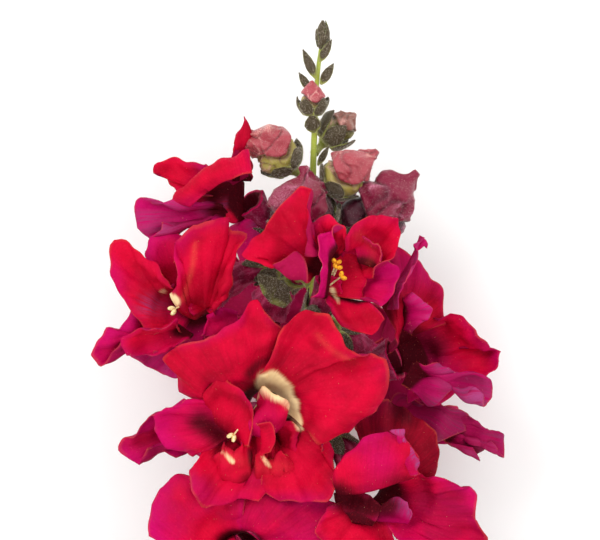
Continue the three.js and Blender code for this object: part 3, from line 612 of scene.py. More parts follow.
class Skin:
    """Closed surfaces gathered into one mesh, with the values that its finishes read."""

    POINT_GAP = 0.02             # least height of any point above the table
    SHEET_GAP = 0.03             # least height of a sheet's lower side above it

    def __init__(self) -> None:
        """Start with nothing."""
        self.points: list[np.ndarray] = []
        self.values: list[dict[str, np.ndarray]] = []
        self.faces: list[np.ndarray] = []
        self.uvs: list[np.ndarray] = []
        self.tissues: list[np.ndarray] = []
        self.slots: list[Tissue] = []
        self.count = 0

    def _slot(self, tissue: Tissue) -> int:
        """The number of a tissue in this mesh."""
        if tissue not in self.slots:
            self.slots.append(tissue)
        return self.slots.index(tissue)

    def _take(self, points: np.ndarray, values: dict[str, np.ndarray]) -> int:
        """Store points with their values, and return where they start."""
        start = self.count
        settled = points.copy()
        settled[:, 2] = np.maximum(settled[:, 2], TABLE + self.POINT_GAP)
        self.points.append(settled)
        self.values.append({k: np.broadcast_to(v, len(points)).astype(float) for k, v in values.items()})
        self.count += len(points)
        return start

    def _quads(self, faces: np.ndarray, uvs: np.ndarray, tissue: Tissue) -> None:
        """Store faces of four corners; a repeated corner makes a triangle."""
        self.faces.append(faces)
        self.uvs.append(uvs)
        self.tissues.append(np.full(len(faces), self._slot(tissue)))

    def sheet(self, middle: np.ndarray, wall: np.ndarray, values: dict[str, np.ndarray],
              tissue: Tissue) -> None:
        """Add a sheet of tissue as a closed skin.

        Args:
            middle: rows by columns of points through the middle of the sheet.
            wall: its thickness at each point.
            values: value for each point, the same on both sides but for "under", the painted shade, which is
                cut to three tenths on the lower side, and the cream and grains, which the lower side lacks.
            tissue: what it is made of.
        """
        rows, cols = middle.shape[:2]
        across = np.gradient(middle, axis=1)
        out = np.gradient(middle, axis=0)
        normal = unit(np.cross(across, out))
        half = (np.asarray(wall) / 2)[..., None]
        middle = middle.copy()
        middle[..., 2] = np.maximum(middle[..., 2], TABLE + half[..., 0] + self.SHEET_GAP)
        flat = {k: np.broadcast_to(v, (rows, cols)).reshape(-1) for k, v in values.items()}
        upper = self._take((middle + normal * half).reshape(-1, 3), {**flat, "under": np.zeros(rows * cols)})
        hidden = {**flat, "deep": flat.get("deep", np.zeros(rows * cols)) * 0.3,
                  "pale": np.zeros(rows * cols), "dust": np.zeros(rows * cols)}
        self._take((middle - normal * half).reshape(-1, 3), {**hidden, "under": np.ones(rows * cols)})
        number = np.arange(rows * cols).reshape(rows, cols)
        a, b = number[:-1, :-1].ravel(), number[:-1, 1:].ravel()
        c, d = number[1:, :-1].ravel(), number[1:, 1:].ravel()
        u, v = np.meshgrid(np.linspace(0, 1, cols), np.linspace(0, 1, rows))
        uv = np.stack([u.ravel(), v.ravel()], axis=1)
        size = rows * cols
        top = np.stack([a, b, d, c], axis=1)
        low = np.stack([a, c, d, b], axis=1)
        self._quads(top + upper, uv[top], tissue)
        self._quads(low + upper + size, uv[low], tissue)
        border = np.concatenate([number[0], number[1:, -1], number[-1, -2::-1], number[-2:0:-1, 0]])
        ahead = np.roll(border, -1)
        edge = np.stack([border + size, ahead + size, ahead, border], axis=1)
        self._quads(edge + upper, uv[np.stack([border, ahead, ahead, border], axis=1)], tissue)

    def rings(self, rings: np.ndarray, values: dict[str, np.ndarray], tissues: Sequence[Tissue]) -> None:
        """Add a closed skin through rings of points, with a pole at each end.

        Args:
            rings: rings by sides of points, turning left about the way from first to last.
            values: value for each point, or one for each ring.
            tissues: what the band after each ring is made of, or one for all.
        """
        count, sides = rings.shape[:2]
        spread = {k: np.broadcast_to(np.asarray(v, float).reshape(count, -1), (count, sides)).reshape(-1)
                  for k, v in values.items()}
        start = self._take(rings.reshape(-1, 3), spread)
        ends = {k: np.array([v[0], v[-1]]) for k, v in spread.items()}
        pole = self._take(np.stack([rings[0].mean(axis=0), rings[-1].mean(axis=0)]), ends)
        number = np.arange(count * sides).reshape(count, sides) + start
        turned = np.roll(number, -1, axis=1)
        u = np.linspace(0, 1, sides + 1)
        v = np.linspace(0, 1, count)
        for r in range(count - 1):
            faces = np.stack([number[r], turned[r], turned[r + 1], number[r + 1]], axis=1)
            uv = np.stack([np.stack([u[:-1], u[1:], u[1:], u[:-1]], axis=1),
                           np.broadcast_to([v[r], v[r], v[r + 1], v[r + 1]], (sides, 4))], axis=2)
            self._quads(faces, uv, tissues[min(r, len(tissues) - 1)])
        for row, centre, order in ((0, pole, (1, 0)), (count - 1, pole + 1, (0, 1))):
            pair = (number[row], turned[row])
            faces = np.stack([pair[order[0]], pair[order[1]], np.full(sides, centre),
                              np.full(sides, centre)], axis=1)
            uv = np.stack([np.stack([u[:-1], u[1:], u[1:], u[:-1]], axis=1),
                           np.full((sides, 4), v[row])], axis=2)
            self._quads(faces, uv, tissues[0 if row == 0 else -1])

    def joined(self, others: Sequence["Skin"]) -> "Skin":
        """This skin and others as one, for growing hairs on."""
        whole = Skin()
        for skin in (self, *others):
            for points, values in zip(skin.points, skin.values):
                whole.points.append(points)
                whole.values.append(values)
            for faces, uvs, tissues in zip(skin.faces, skin.uvs, skin.tissues):
                whole.faces.append(faces + whole.count)
                whole.uvs.append(uvs)
                whole.tissues.append(tissues * 0)
            whole.count += skin.count
        whole.slots = [Tissue.PETAL]
        return whole

    def build(self, name: str) -> bpy.types.Object:
        """Make the object, at the origin of the row frame.

        Args:
            name: the object's name.

        Returns:
            The object, smooth shaded, with its finishes in its slots.
        """
        points = (np.concatenate(self.points) + SHIFT) * MM
        faces = np.concatenate(self.faces)
        uvs = np.concatenate(self.uvs)
        keep = np.ones(faces.shape, dtype=bool)
        keep[:, 3] = faces[:, 3] != faces[:, 2]
        totals = keep.sum(axis=1)
        mesh = bpy.data.meshes.new(name)
        mesh.vertices.add(len(points))
        mesh.vertices.foreach_set("co", points.ravel())
        mesh.loops.add(int(totals.sum()))
        mesh.loops.foreach_set("vertex_index", faces[keep])
        mesh.polygons.add(len(faces))
        mesh.polygons.foreach_set("loop_start", np.concatenate([[0], np.cumsum(totals)[:-1]]))
        mesh.polygons.foreach_set("material_index", np.concatenate(self.tissues))
        mesh.update(calc_edges=True)
        mesh.polygons.foreach_set("use_smooth", np.ones(len(faces), dtype=bool))
        layer = mesh.uv_layers.new(name="petal")
        layer.data.foreach_set("uv", uvs[keep].ravel())
        for key in VALUES:
            if any(key in values for values in self.values):
                stored = [values.get(key, np.zeros(len(p))) for p, values in zip(self.points, self.values)]
                mesh.attributes.new(key, "FLOAT", "POINT").data.foreach_set("value", np.concatenate(stored))
        mesh.validate()
        for tissue in self.slots:
            mesh.materials.append(tissue.material())
        return linked(name, mesh)


def drawn_shift() -> np.ndarray:
    """How far the row frame is from the drawing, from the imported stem's lowest corner."""
    low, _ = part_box("stem")
    return array(low) / MM - array(STEM_LOW)


SHIFT = drawn_shift()


def ring_grid(t: np.ndarray, sides: int) -> tuple[np.ndarray, np.ndarray, np.ndarray]:
    """Lay out the rings of a skin.

    Args:
        t: share of the line at which each ring is.
        sides: points round each ring.

    Returns:
        The shares as a column, the angles as a row, and ones for every point.
    """
    angle = np.linspace(0, 2 * math.pi, sides, endpoint=False)[None, :]
    return t[:, None], angle, np.ones((len(t), sides))


# ------------------------------------------------------------------------------ the stem

STEM_PATH = Path(through((
    (0, CUT_Y, TABLE + STEM_RADIUS_CUT),
    (1, CUT_Y + (-100 - CUT_Y) * 0.35, TABLE + STEM_RADIUS_CUT + 2),
    (1.5, CUT_Y + (-100 - CUT_Y) * 0.7, TABLE * 0.6),
    (0.5, -100, TABLE * 0.22),
    (0, -60, 0),
    (-0.3, 0, 0),
    (0.2, 25, 0),
    (1, TIP_Y - 6, 0),
    (1.8, TIP_Y, 0),
), 400))


def stem_radius(t: Union[float, np.ndarray]) -> Union[float, np.ndarray]:
    """The stem's radius at a share of its length from the cut."""
    return STEM_RADIUS_CUT + (STEM_RADIUS_TIP - STEM_RADIUS_CUT) * np.power(t, 1.4)


def stem_share(y: float) -> float:
    """The share of the stem's length at which it passes y."""
    shares = np.linspace(0, 1, 800)
    return float(np.interp(y, STEM_PATH.point(shares)[:, 1], shares))


@dataclass
class Stem:
    """The flowering stem, cut across at its lower end."""

    sides: int = 36
    rings: int = 240
    rib: float = 0.09        # height of its lengthwise ribs
    skin: Skin = field(default_factory=Skin)

    def build(self) -> bpy.types.Object:
        """Ribbed skin round the path, with a flat pale cut face.

        Returns:
            The stem's object.
        """
        shares = np.concatenate([[0.0, 0.0, 0.0], np.linspace(0, 1, self.rings)])
        t, angle, full = ring_grid(shares, self.sides)
        radius = stem_radius(t) * full
        ribs = self.rib * np.cos(6 * angle + 1.5 * t) + 0.05 * np.cos(13 * angle)
        radius = radius + ribs * stem_radius(t) / STEM_RADIUS_CUT
        radius[0] *= 0.35
        radius[1] *= 0.8
        rings = STEM_PATH.around(t * full, angle * full, radius)
        young = ease(rings[..., 1], -110, 20)
        age = 1 - young
        age[:2] = 0.15
        fuzz = ease(rings[..., 1], -10, 25)
        self.skin.rings(rings, {"age": age, "fuzz": fuzz * 0.8}, [Tissue.STEM])
        made = self.skin.build("flowering_stem")
        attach(made, BODY)
        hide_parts("stem")
        return made


# ------------------------------------------------------------------------------ petals

@dataclass(frozen=True)
class Lobe:
    """One lobe of a corolla, opened out from its base to its rim."""

    rim: tuple[Point, ...]
    arc: Optional[tuple[float, float]] = None      # where it starts on the mouth, in degrees
    base: Optional[tuple[Point, ...]] = None       # or a base line of its own
    mid: Optional[tuple[Point, ...]] = None
    lift: Point = (0, 0, 0)
    flush: float = 0.3                             # how magenta it is
    lilac: float = 0.0                             # how streaked with lilac towards its rim
    ruffle: float = 0.9                            # height of its waves and folds
    curl: float = 0.8                              # how far its rim rolls over
    depth: float = 1.0                             # painted shade: how dark it goes towards the throat
    trim: float = 0.7                              # how downy its edge is
    tone: float = 0.0                              # painted shade: how much darker it is all over, for a lobe that lies in shade


@dataclass(frozen=True)
class Spot:
    """A line on a bloom where its colour changes, such as the cream of the palate; some spots paint shade
    into gaps and throats, and one paints a highlight along a fold.
    """

    value: str
    line: tuple[Point, ...]
    width: float
    strength: float = 1.0

    def share(self, points: np.ndarray) -> np.ndarray:
        """How strongly each point has the colour."""
        flatter = array((1, 1, 0.35))
        line = through(self.line, 24) * flatter
        flat = points.reshape(-1, 3) * flatter
        gap = np.min(np.linalg.norm(flat[:, None, :] - line[None], axis=2), axis=1)
        return (self.strength * np.exp(-(gap / self.width) ** 2)).reshape(points.shape[:-1])


@dataclass
class Bloom:
    """An open bloom: a tube that grew as one piece with its lobes, in a calyx on a short stalk."""

    name: str
    foot: Point
    throat: Point
    facing: Point
    mouth: float
    lobes: tuple[Lobe, ...] = ()
    inner: tuple[Lobe, ...] = ()                   # extra petals inside the mouth
    spots: tuple[Spot, ...] = ()
    anthers: tuple[Point, ...] = ()
    pollen: Tissue = Tissue.ANTHER
    bract: Optional[tuple[Point, Point, float]] = None   # foot, tip and width of the bract under it
    overlap: float = 13.0                          # degrees that neighbouring lobes lap over
    petaloids: int = 3                             # small crumpled petals that fill the throat
    across: int = 56
    along: int = 34
    corolla: Skin = field(default_factory=Skin)
    calyx: Skin = field(default_factory=Skin)

    WAVE_LENGTH = 8.5            # rim for each ruffle, in millimetres
    WAVE_HEIGHT = 0.42
    FOLD_WIDTH, FOLD_HEIGHT = 7.0, 1.1
    CREASE_WIDTH, CREASE_DEPTH = 11.0, 0.9
    PUCKER_WIDTH, PUCKER_HEIGHT = 2.6, 0.34
    ROLL_MARGIN = 0.16           # share of the lobe, from its rim, that rolls over

    def seed(self) -> int:
        """A fixed number for this bloom's own irregularity."""
        return sum(ord(c) * (k + 3) for k, c in enumerate(self.name))

    def path(self) -> Path:
        """The line of the tube, from its foot to the throat."""
        foot, throat, facing = array(self.foot), array(self.throat), unit(array(self.facing))
        reach = np.linalg.norm(throat - foot) * 0.35
        nearest = STEM_PATH.point(stem_share(self.foot[1] - 4))
        away = unit(unit(foot - nearest) + 1.4 * unit(throat - foot))
        t = np.linspace(0, 1, 120)
        return Path(bezier((foot, foot + away * reach, throat - facing * reach, throat), t))

    def radius(self, t: np.ndarray) -> np.ndarray:
        """The tube's radius at a share of its length."""
        return TUBE_FOOT_RADIUS + (self.mouth - TUBE_FOOT_RADIUS) * (0.55 * t * t + 0.45 * t)

    def on_mouth(self, degrees: np.ndarray, radius: float, ahead: float) -> np.ndarray:
        """Points round the mouth, 0 to the right and 90 towards the tip of the spike."""
        facing = unit(array(self.facing))
        tipward = array((0, 1, 0))
        tipward = unit(tipward - facing * np.dot(tipward, facing))
        right = np.cross(tipward, facing)
        turn = np.radians(degrees)[..., None]
        return array(self.throat) + (np.cos(turn) * right + np.sin(turn) * tipward) * radius + facing * ahead

    def tube(self) -> None:
        """Outer wall from the foot to behind the lobes, and inner wall back to the bottom of the throat."""
        path = self.path()
        outer = np.concatenate([[0.0, 0.004], np.linspace(0.02, TUBE_END, 28)])
        inner = np.linspace(TUBE_END, THROAT_FLOOR, 14)
        t, angle, full = ring_grid(np.concatenate([outer, inner]), 48)
        radius = self.radius(t) * full
        flutes = 0.05 * np.cos(5 * angle + self.seed()) + 0.03 * np.cos(9 * angle)
        radius *= 1 + flutes * ease(t, 0.1, 0.7)
        radius[0] *= 0.5
        inside = slice(len(outer), None)
        radius[inside] = radius[inside] * (0.55 + 0.45 * t[inside]) - PETAL_WALL
        rings = path.around(t * full, angle * full, np.maximum(radius, 0.3))
        rings += 0.35 * unit(rings - path.point(t)) * wobble(rings, 3.0, self.seed())[..., None]
        deep = np.zeros_like(full)
        # painted shade on the inner wall of the throat
        deep[inside] = 0.85
        fuzz = ease(t, 0.15, 0.3) * full
        fuzz[inside] = 0
        shade = {"deep": deep, "fuzz": fuzz, "pink": 0.6 * full}
        bands = [Tissue.TUBE] * (len(outer) - 1) + [Tissue.PETAL]
        self.corolla.rings(rings, shade, bands)

    def lobe(self, lobe: Lobe, number: int, across: int, along: int) -> None:
        """Open one lobe out, ruffle it, roll its rim, and give it its colours.

        Args:
            lobe: its outline.
            number: its place in the bloom.
            across: columns.
            along: rows.
        """
        seed = self.seed() + 17 * number
        cols = across + 1
        rim = 0.25 * through(lobe.rim, cols) + 0.75 * even(array(lobe.rim), cols)
        outward = unit(rim - array(self.throat))
        jag = 0.3 * wobble(rim, 2.4, seed + 9) - 0.5 * np.abs(wobble(rim, 6.0, seed + 10))
        rim = rim + lobe.ruffle * outward * jag[:, None]
        v = np.linspace(0, 1, along + 1) ** 0.9
        vv = v[:, None, None]
        even_v = v[:, None] * np.ones(cols)
        if lobe.arc:
            lap = math.copysign(self.overlap, lobe.arc[1] - lobe.arc[0])
            degrees = np.linspace(lobe.arc[0] - lap, lobe.arc[1] + lap, cols)
            base = self.on_mouth(degrees, self.mouth * 0.5, -self.mouth * 0.9)
            knee = self.on_mouth(degrees, self.mouth * 0.95, 0.0)
            grid = bezier((base, knee, knee * 0.6 + rim * 0.4, rim), even_v)
        elif lobe.mid:
            base, stop = through(lobe.base, cols), through(lobe.mid, cols)
            grid = bezier((base, 2 * stop - 0.5 * base - 0.5 * rim, rim), even_v)
        else:
            grid = through(lobe.base, cols) * (1 - vv) + rim * vv
        grid = grid + array(lobe.lift) * 4 * vv * (1 - vv)
        normal = unit(np.cross(np.gradient(grid, axis=1), np.gradient(grid, axis=0)))
        outlook = unit(array(self.facing)) + 0.6 * UP
        if float((normal @ outlook).mean()) < 0:
            grid = grid[:, ::-1]
            normal = -normal[:, ::-1]
        v1 = np.broadcast_to(v[:, None], grid.shape[:2])
        u1 = np.broadcast_to(np.linspace(0, 1, cols)[None, :], grid.shape[:2])
        length = float(np.linalg.norm(np.diff(rim, axis=0), axis=1).sum())
        waves = max(2.0, length / self.WAVE_LENGTH)
        phase = (seed % 7) * 0.9
        turn = 2 * math.pi * waves * (u1 + 0.1 * wobble(rim, 14.0, seed + 7)[None, :])
        wave = np.sin(turn + phase) + 0.5 * np.sin(2.35 * turn + 2 * phase)
        folds = wobble(grid, self.FOLD_WIDTH, seed)
        creases = np.abs(wobble(grid, self.CREASE_WIDTH, seed + 6))
        puckers = wobble(grid, self.PUCKER_WIDTH, seed + 1)
        height = lobe.ruffle * self.WAVE_HEIGHT * v1 ** 2 * wave
        height = height + lobe.ruffle * self.FOLD_HEIGHT * folds * ease(v1, 0.1, 0.6)
        height = height - lobe.ruffle * self.CREASE_DEPTH * creases * ease(v1, 0.15, 0.7)
        height = height + self.PUCKER_HEIGHT * puckers * ease(v1, 0.05, 0.4)
        edge = np.minimum(1 - v1, np.minimum(u1, 1 - u1) * 2.2)
        roll = lobe.curl * (0.5 + 0.9 * wobble(rim, 9.0, seed + 2))[None, :]
        height = height - roll * ease(edge, self.ROLL_MARGIN, 0.0) ** 1.8
        grid = grid + normal * height[..., None]
        inward = unit(grid.mean(axis=(0, 1)) - grid)
        grid = grid + inward * (np.abs(roll) * 0.15 * ease(edge, 0.1, 0.0) ** 2)[..., None]
        wall = PETAL_WALL * (0.3 + 0.7 * ease(edge, 0.0, 0.06)) * (1.25 - 0.4 * v1)
        streak = 0.5 + 0.5 * wobble(np.stack([u1 * 40, v1 * 6, 0 * u1], axis=2), 3.0, seed + 3)
        values = {
            "pink": lobe.flush + 0.2 * ease(edge, 0.2, 0.0) + 0.18 * wobble(grid, 8.0, seed + 4),
            # painted shade over a lobe that lies in shade, towards the throat, and in soft random patches
            # that stand for shade along the folds
            "deep": (lobe.tone + lobe.depth * ease(v1, 0.4, 0.08)
                     + 0.3 * ease(wobble(grid, 9.0, seed + 5), 0.1, 0.9)),
            "lilac": np.clip(lobe.lilac * ease(v1, 0.3, 1.0) * (0.4 + streak), 0, 1),
            "pale": np.zeros_like(v1),
            "edge": lobe.trim * ease(edge, 0.015, 0.0) * ease(wobble(grid, 4.0, seed + 11), -0.6, 0.5),
            "dust": 0.25 + 0.75 * ease(v1, 0.7, 0.1),
        }
        for spot in self.spots:
            values[spot.value] = np.clip(np.maximum(values[spot.value], spot.share(grid)), 0, 1)
        self.corolla.sheet(grid, wall, values, Tissue.PETAL)

    def crumpled(self) -> list[Lobe]:
        """Small petals that stand up out of the throat of a double bloom, each bent its own way.

        Returns:
            Their outlines.
        """
        rng = np.random.default_rng(self.seed())
        made = []
        for k in range(self.petaloids):
            middle = 360 * k / max(self.petaloids, 1) + rng.uniform(-25, 25)
            half = rng.uniform(45, 65)
            seat = self.mouth * rng.uniform(0.5, 0.75)
            rise = self.mouth * rng.uniform(0.2, 0.5)
            turns = middle + half * np.linspace(-1, 1, 5)
            base = self.on_mouth(turns[1:4], seat, -self.mouth * 0.5)
            reach = self.mouth * np.array([0.6, 0.4, 0.25, 0.4, 0.6]) * rng.uniform(0.7, 1.2, 5)
            rim = [self.on_mouth(np.array(a), r, rise * h) for a, r, h in
                   zip(turns, reach, rng.uniform(0.6, 1.2, 5))]
            made.append(Lobe(base=tuple(tuple(p) for p in base), rim=tuple(tuple(p) for p in rim),
                             flush=float(rng.uniform(0.0, 0.5)), ruffle=0.5, curl=0.4, depth=0.5, trim=0.3))
        return made

    def stamens(self) -> None:
        """Cream filaments up from the tube, each with an anther of two lobes."""
        path = self.path()
        for k, tip in enumerate(self.anthers):
            tip = array(tip)
            root = path.around(np.array(0.45), np.array(2.0 + 1.1 * k), np.array(0.8))
            bend = (root + tip) / 2 + array((0.4 * (-1) ** k, 0.4, 0.6))
            filament = Path(bezier((root, bend, tip), np.linspace(0, 1, 40)))
            t, angle, full = ring_grid(np.linspace(0, 1, 16), 8)
            self.corolla.rings(filament.around(t * full, angle * full, (0.24 - 0.08 * t) * full), {},
                               [Tissue.FILAMENT])
            heading = filament.heading(1.0)
            cross = unit(np.cross(heading, UP))
            for side in (-1, 1):
                ends = (tip + cross * side * 0.15 - heading * 0.5, tip + cross * side * 0.5 + UP * 0.35,
                        tip + cross * side * 0.7 + heading * 0.9)
                sac = Path(bezier(ends, np.linspace(0, 1, 30)))
                t, angle, full = ring_grid(np.linspace(0, 1, 12), 14)
                girth = 0.52 * np.sin(math.pi * (0.08 + 0.84 * t)) ** 0.6 * (1 - 0.12 * np.cos(2 * angle))
                self.corolla.rings(sac.around(t * full, angle * full, girth), {}, [self.pollen])

    def build(self) -> list[bpy.types.Object]:
        """Make the corolla and its calyx, and set what they stand for.

        Returns:
            The two objects.
        """
        self.tube()
        for number, lobe in enumerate(self.lobes):
            self.lobe(lobe, number, self.across, self.along)
        for number, lobe in enumerate([*self.inner, *self.crumpled()]):
            self.lobe(lobe, number + 40, self.across // 2, self.along // 2 + 4)
        self.stamens()
        corolla = self.corolla.build(self.name + "_petals")
        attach(corolla, BODY)
        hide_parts(self.name + "_corolla")
        path = self.path()
        cup = Calyx(self.name, path, self.radius, reach=min(0.5, CALYX_LENGTH / path.length),
                    skin=self.calyx, spread=0.1, fresh=0.05, bract=self.bract)
        return [corolla, cup.build()]


@dataclass
class PatternBloom(Bloom):
    """A bloom of five even lobes, for the part of the spike below and behind."""

    reach: float = 16.0
    across: int = 44
    along: int = 26

    SPREADS = ((172, 98, 1.0), (82, 8, 1.0), (-8, -58, 0.85), (-66, -114, 0.9), (-122, -172, 0.85))

    def build(self) -> list[bpy.types.Object]:
        """Draw the five lobes round the mouth, then build as any bloom."""
        facing = unit(array(self.facing))
        drawn = []
        for start, end, share in self.SPREADS:
            t = np.linspace(0, 1, 7)
            degrees = start + (end - start) * (-0.12 + 1.24 * t)
            radii = self.mouth + self.reach * share * (0.55 + 0.45 * np.sin(math.pi * t))
            rim = [self.on_mouth(np.array(d), r, self.reach * 0.3) for d, r in zip(degrees, radii)]
            drawn.append(Lobe(arc=(start, end), rim=tuple(tuple(p) for p in rim),
                              lift=tuple(facing * 2), flush=0.45))
        self.lobes = tuple(drawn)
        return super().build()


# ------------------------------------------------------------------------------ calyces and buds

@dataclass
class Calyx:
    """A cup of five pointed, downy sepals round the foot of a bloom or bud, with its stalk."""

    name: str
    path: Path
    radius: Callable[[np.ndarray], np.ndarray]
    reach: float = 0.5           # how far the sepals go up the piece they hold
    spread: float = 0.35         # how far their tips stand off it
    wall: float = 0.45
    fresh: float = 0.0           # how much greener than brown
    bract: Optional[tuple[Point, Point, float]] = None
    skin: Skin = field(default_factory=Skin)

    def stalk(self) -> None:
        """The pedicel, from inside the stem to under the cup."""
        foot, heading = self.path.point(0.0), self.path.heading(0.0)
        top = foot - heading * 0.5
        near = STEM_PATH.point(stem_share(float(top[1])))
        share = stem_share(float(top[1] - 0.6 * np.linalg.norm(top - near)))
        root = STEM_PATH.point(share)
        away = unit(top - root)
        start = root + away * float(stem_radius(share)) * 0.6
        line = Path(bezier((start, start * 0.6 + top * 0.4, top - heading, top + heading * 0.6),
                           np.linspace(0, 1, 60)))
        t, angle, full = ring_grid(np.linspace(0, 1, 18), 16)
        girth = PEDICEL_RADIUS * (1.15 - 0.25 * np.sin(math.pi * t) + 0.9 * ease(t, 0.75, 1.0)) * full
        girth *= 1 + 0.06 * np.cos(5 * angle)
        self.skin.rings(line.around(t * full, angle * full, girth),
                        {"green": 0.75 * full, "fuzz": full}, [Tissue.SEPAL])

    def cup(self) -> None:
        """The short cup that the sepals stand on, with its inner wall."""
        outer = np.array([0.0, 0.01, 0.05, 0.1, 0.16, 0.2])
        shares = np.array([0.35, 0.85, 1.0, 1.0, 1.0, 1.0])
        extra = np.array([0.1, 0.3, 0.42, 0.42, 0.4, 0.3])
        t = np.concatenate([outer, outer[::-1][:4]]) * self.reach * 1.8
        grow = np.concatenate([extra, [0.02, 0.02, 0.02, 0.02]])
        share = np.concatenate([shares, [1.0, 1.0, 1.0, 0.9]])
        girth = (np.maximum(self.radius(t), 0.9) * share + grow)[:, None]
        t, angle, full = ring_grid(t, 40)
        self.skin.rings(self.path.around(t * full, angle * full, girth * full),
                        {"green": 0.55 * full, "fuzz": full}, [Tissue.SEPAL])

    def sepals(self) -> None:
        """Five overlapping blades: broad at the foot, pointed, and keeled down the middle."""
        rows, cols = 26, 15
        rng = np.random.default_rng(sum(ord(c) for c in self.name))
        turn = rng.uniform(0, 2 * math.pi)
        for k in range(SEPALS):
            reach = self.reach * rng.uniform(0.85, 1.12)
            s = np.linspace(0.02, 1, rows)[:, None]
            w = np.linspace(-1, 1, cols)[None, :]
            width = (0.95 - 0.15 * s) * (1 - s ** 2.2) ** 0.75 + 0.03
            angle = turn + 2 * math.pi * k / SEPALS + w * width * 0.82
            t = np.clip(s * reach, 0, 1) + 0 * w
            girth = np.maximum(self.radius(t), 1.0)
            stand = 0.35 + 0.12 * (k % 2) + self.spread * s ** 2 + 0.25 * s * rng.uniform(-0.2, 1)
            girth = girth + stand + 0.22 * (1 - np.abs(w)) * (1 - 0.5 * s) + 0.1 * np.abs(w) ** 3
            grid = self.path.around(t, angle, girth)
            grid = grid + 0.12 * wobble(grid, 1.5, 11 + k)[..., None] * unit(grid - self.path.point(t))
            edge = ease(np.abs(w), 0.7, 1.0) * ease(s, 1.0, 0.5)
            green = np.clip(self.fresh + 0.6 * edge + 0.6 * ease(s, 0.4, 0.0) + 0 * w, 0, 1)
            wall = self.wall * (1 - 0.55 * np.abs(w) ** 3) * (1 - 0.5 * s)
            self.skin.sheet(grid[:, ::-1], wall[:, ::-1],
                            {"green": green[:, ::-1], "fuzz": np.ones_like(green)}, Tissue.SEPAL)

    def axil_bract(self) -> None:
        """The pointed bract that the stalk grows in, folded up along its middle."""
        foot, tip, width = array(self.bract[0]), array(self.bract[1]), self.bract[2]
        side = unit(np.cross(UP, tip - foot))
        t = np.linspace(0, 1, 30)[:, None]
        w = np.linspace(-1, 1, 17)[None, :]
        half = width / 2 * np.interp(t, (0, 0.3, 0.6, 0.85, 1), (0.45, 1, 0.9, 0.45, 0.06))
        grid = foot + (tip - foot) * t[..., None] + side * (w * half)[..., None]
        rise = 1.0 * np.sin(math.pi * t) - 0.35 * half * w ** 2
        grid = grid + (rise + 0.3 * wobble(grid, 2.0, 3))[..., None] * UP
        green = 0.25 + 0.12 * np.abs(w) ** 3 + 0.15 * ease(t, 0.5, 0.0) + 0.15 * wobble(grid, 1.5, 6)
        green = np.clip(green, 0, 1)
        if float(np.cross(tip - foot, side)[2]) > 0:
            grid, green = grid[:, ::-1], green[:, ::-1]
        shade = {"green": green, "fuzz": np.ones_like(green)}
        self.skin.sheet(grid, np.full_like(green, 0.3), shade, Tissue.SEPAL)

    def build(self) -> bpy.types.Object:
        """Make stalk, cup and sepals.

        Returns:
            The calyx's object.
        """
        self.stalk()
        self.cup()
        self.sepals()
        if self.bract:
            self.axil_bract()
        made = self.skin.build(self.name + "_sepals")
        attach(made, BODY)
        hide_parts(self.name + "_calyx")
        return made


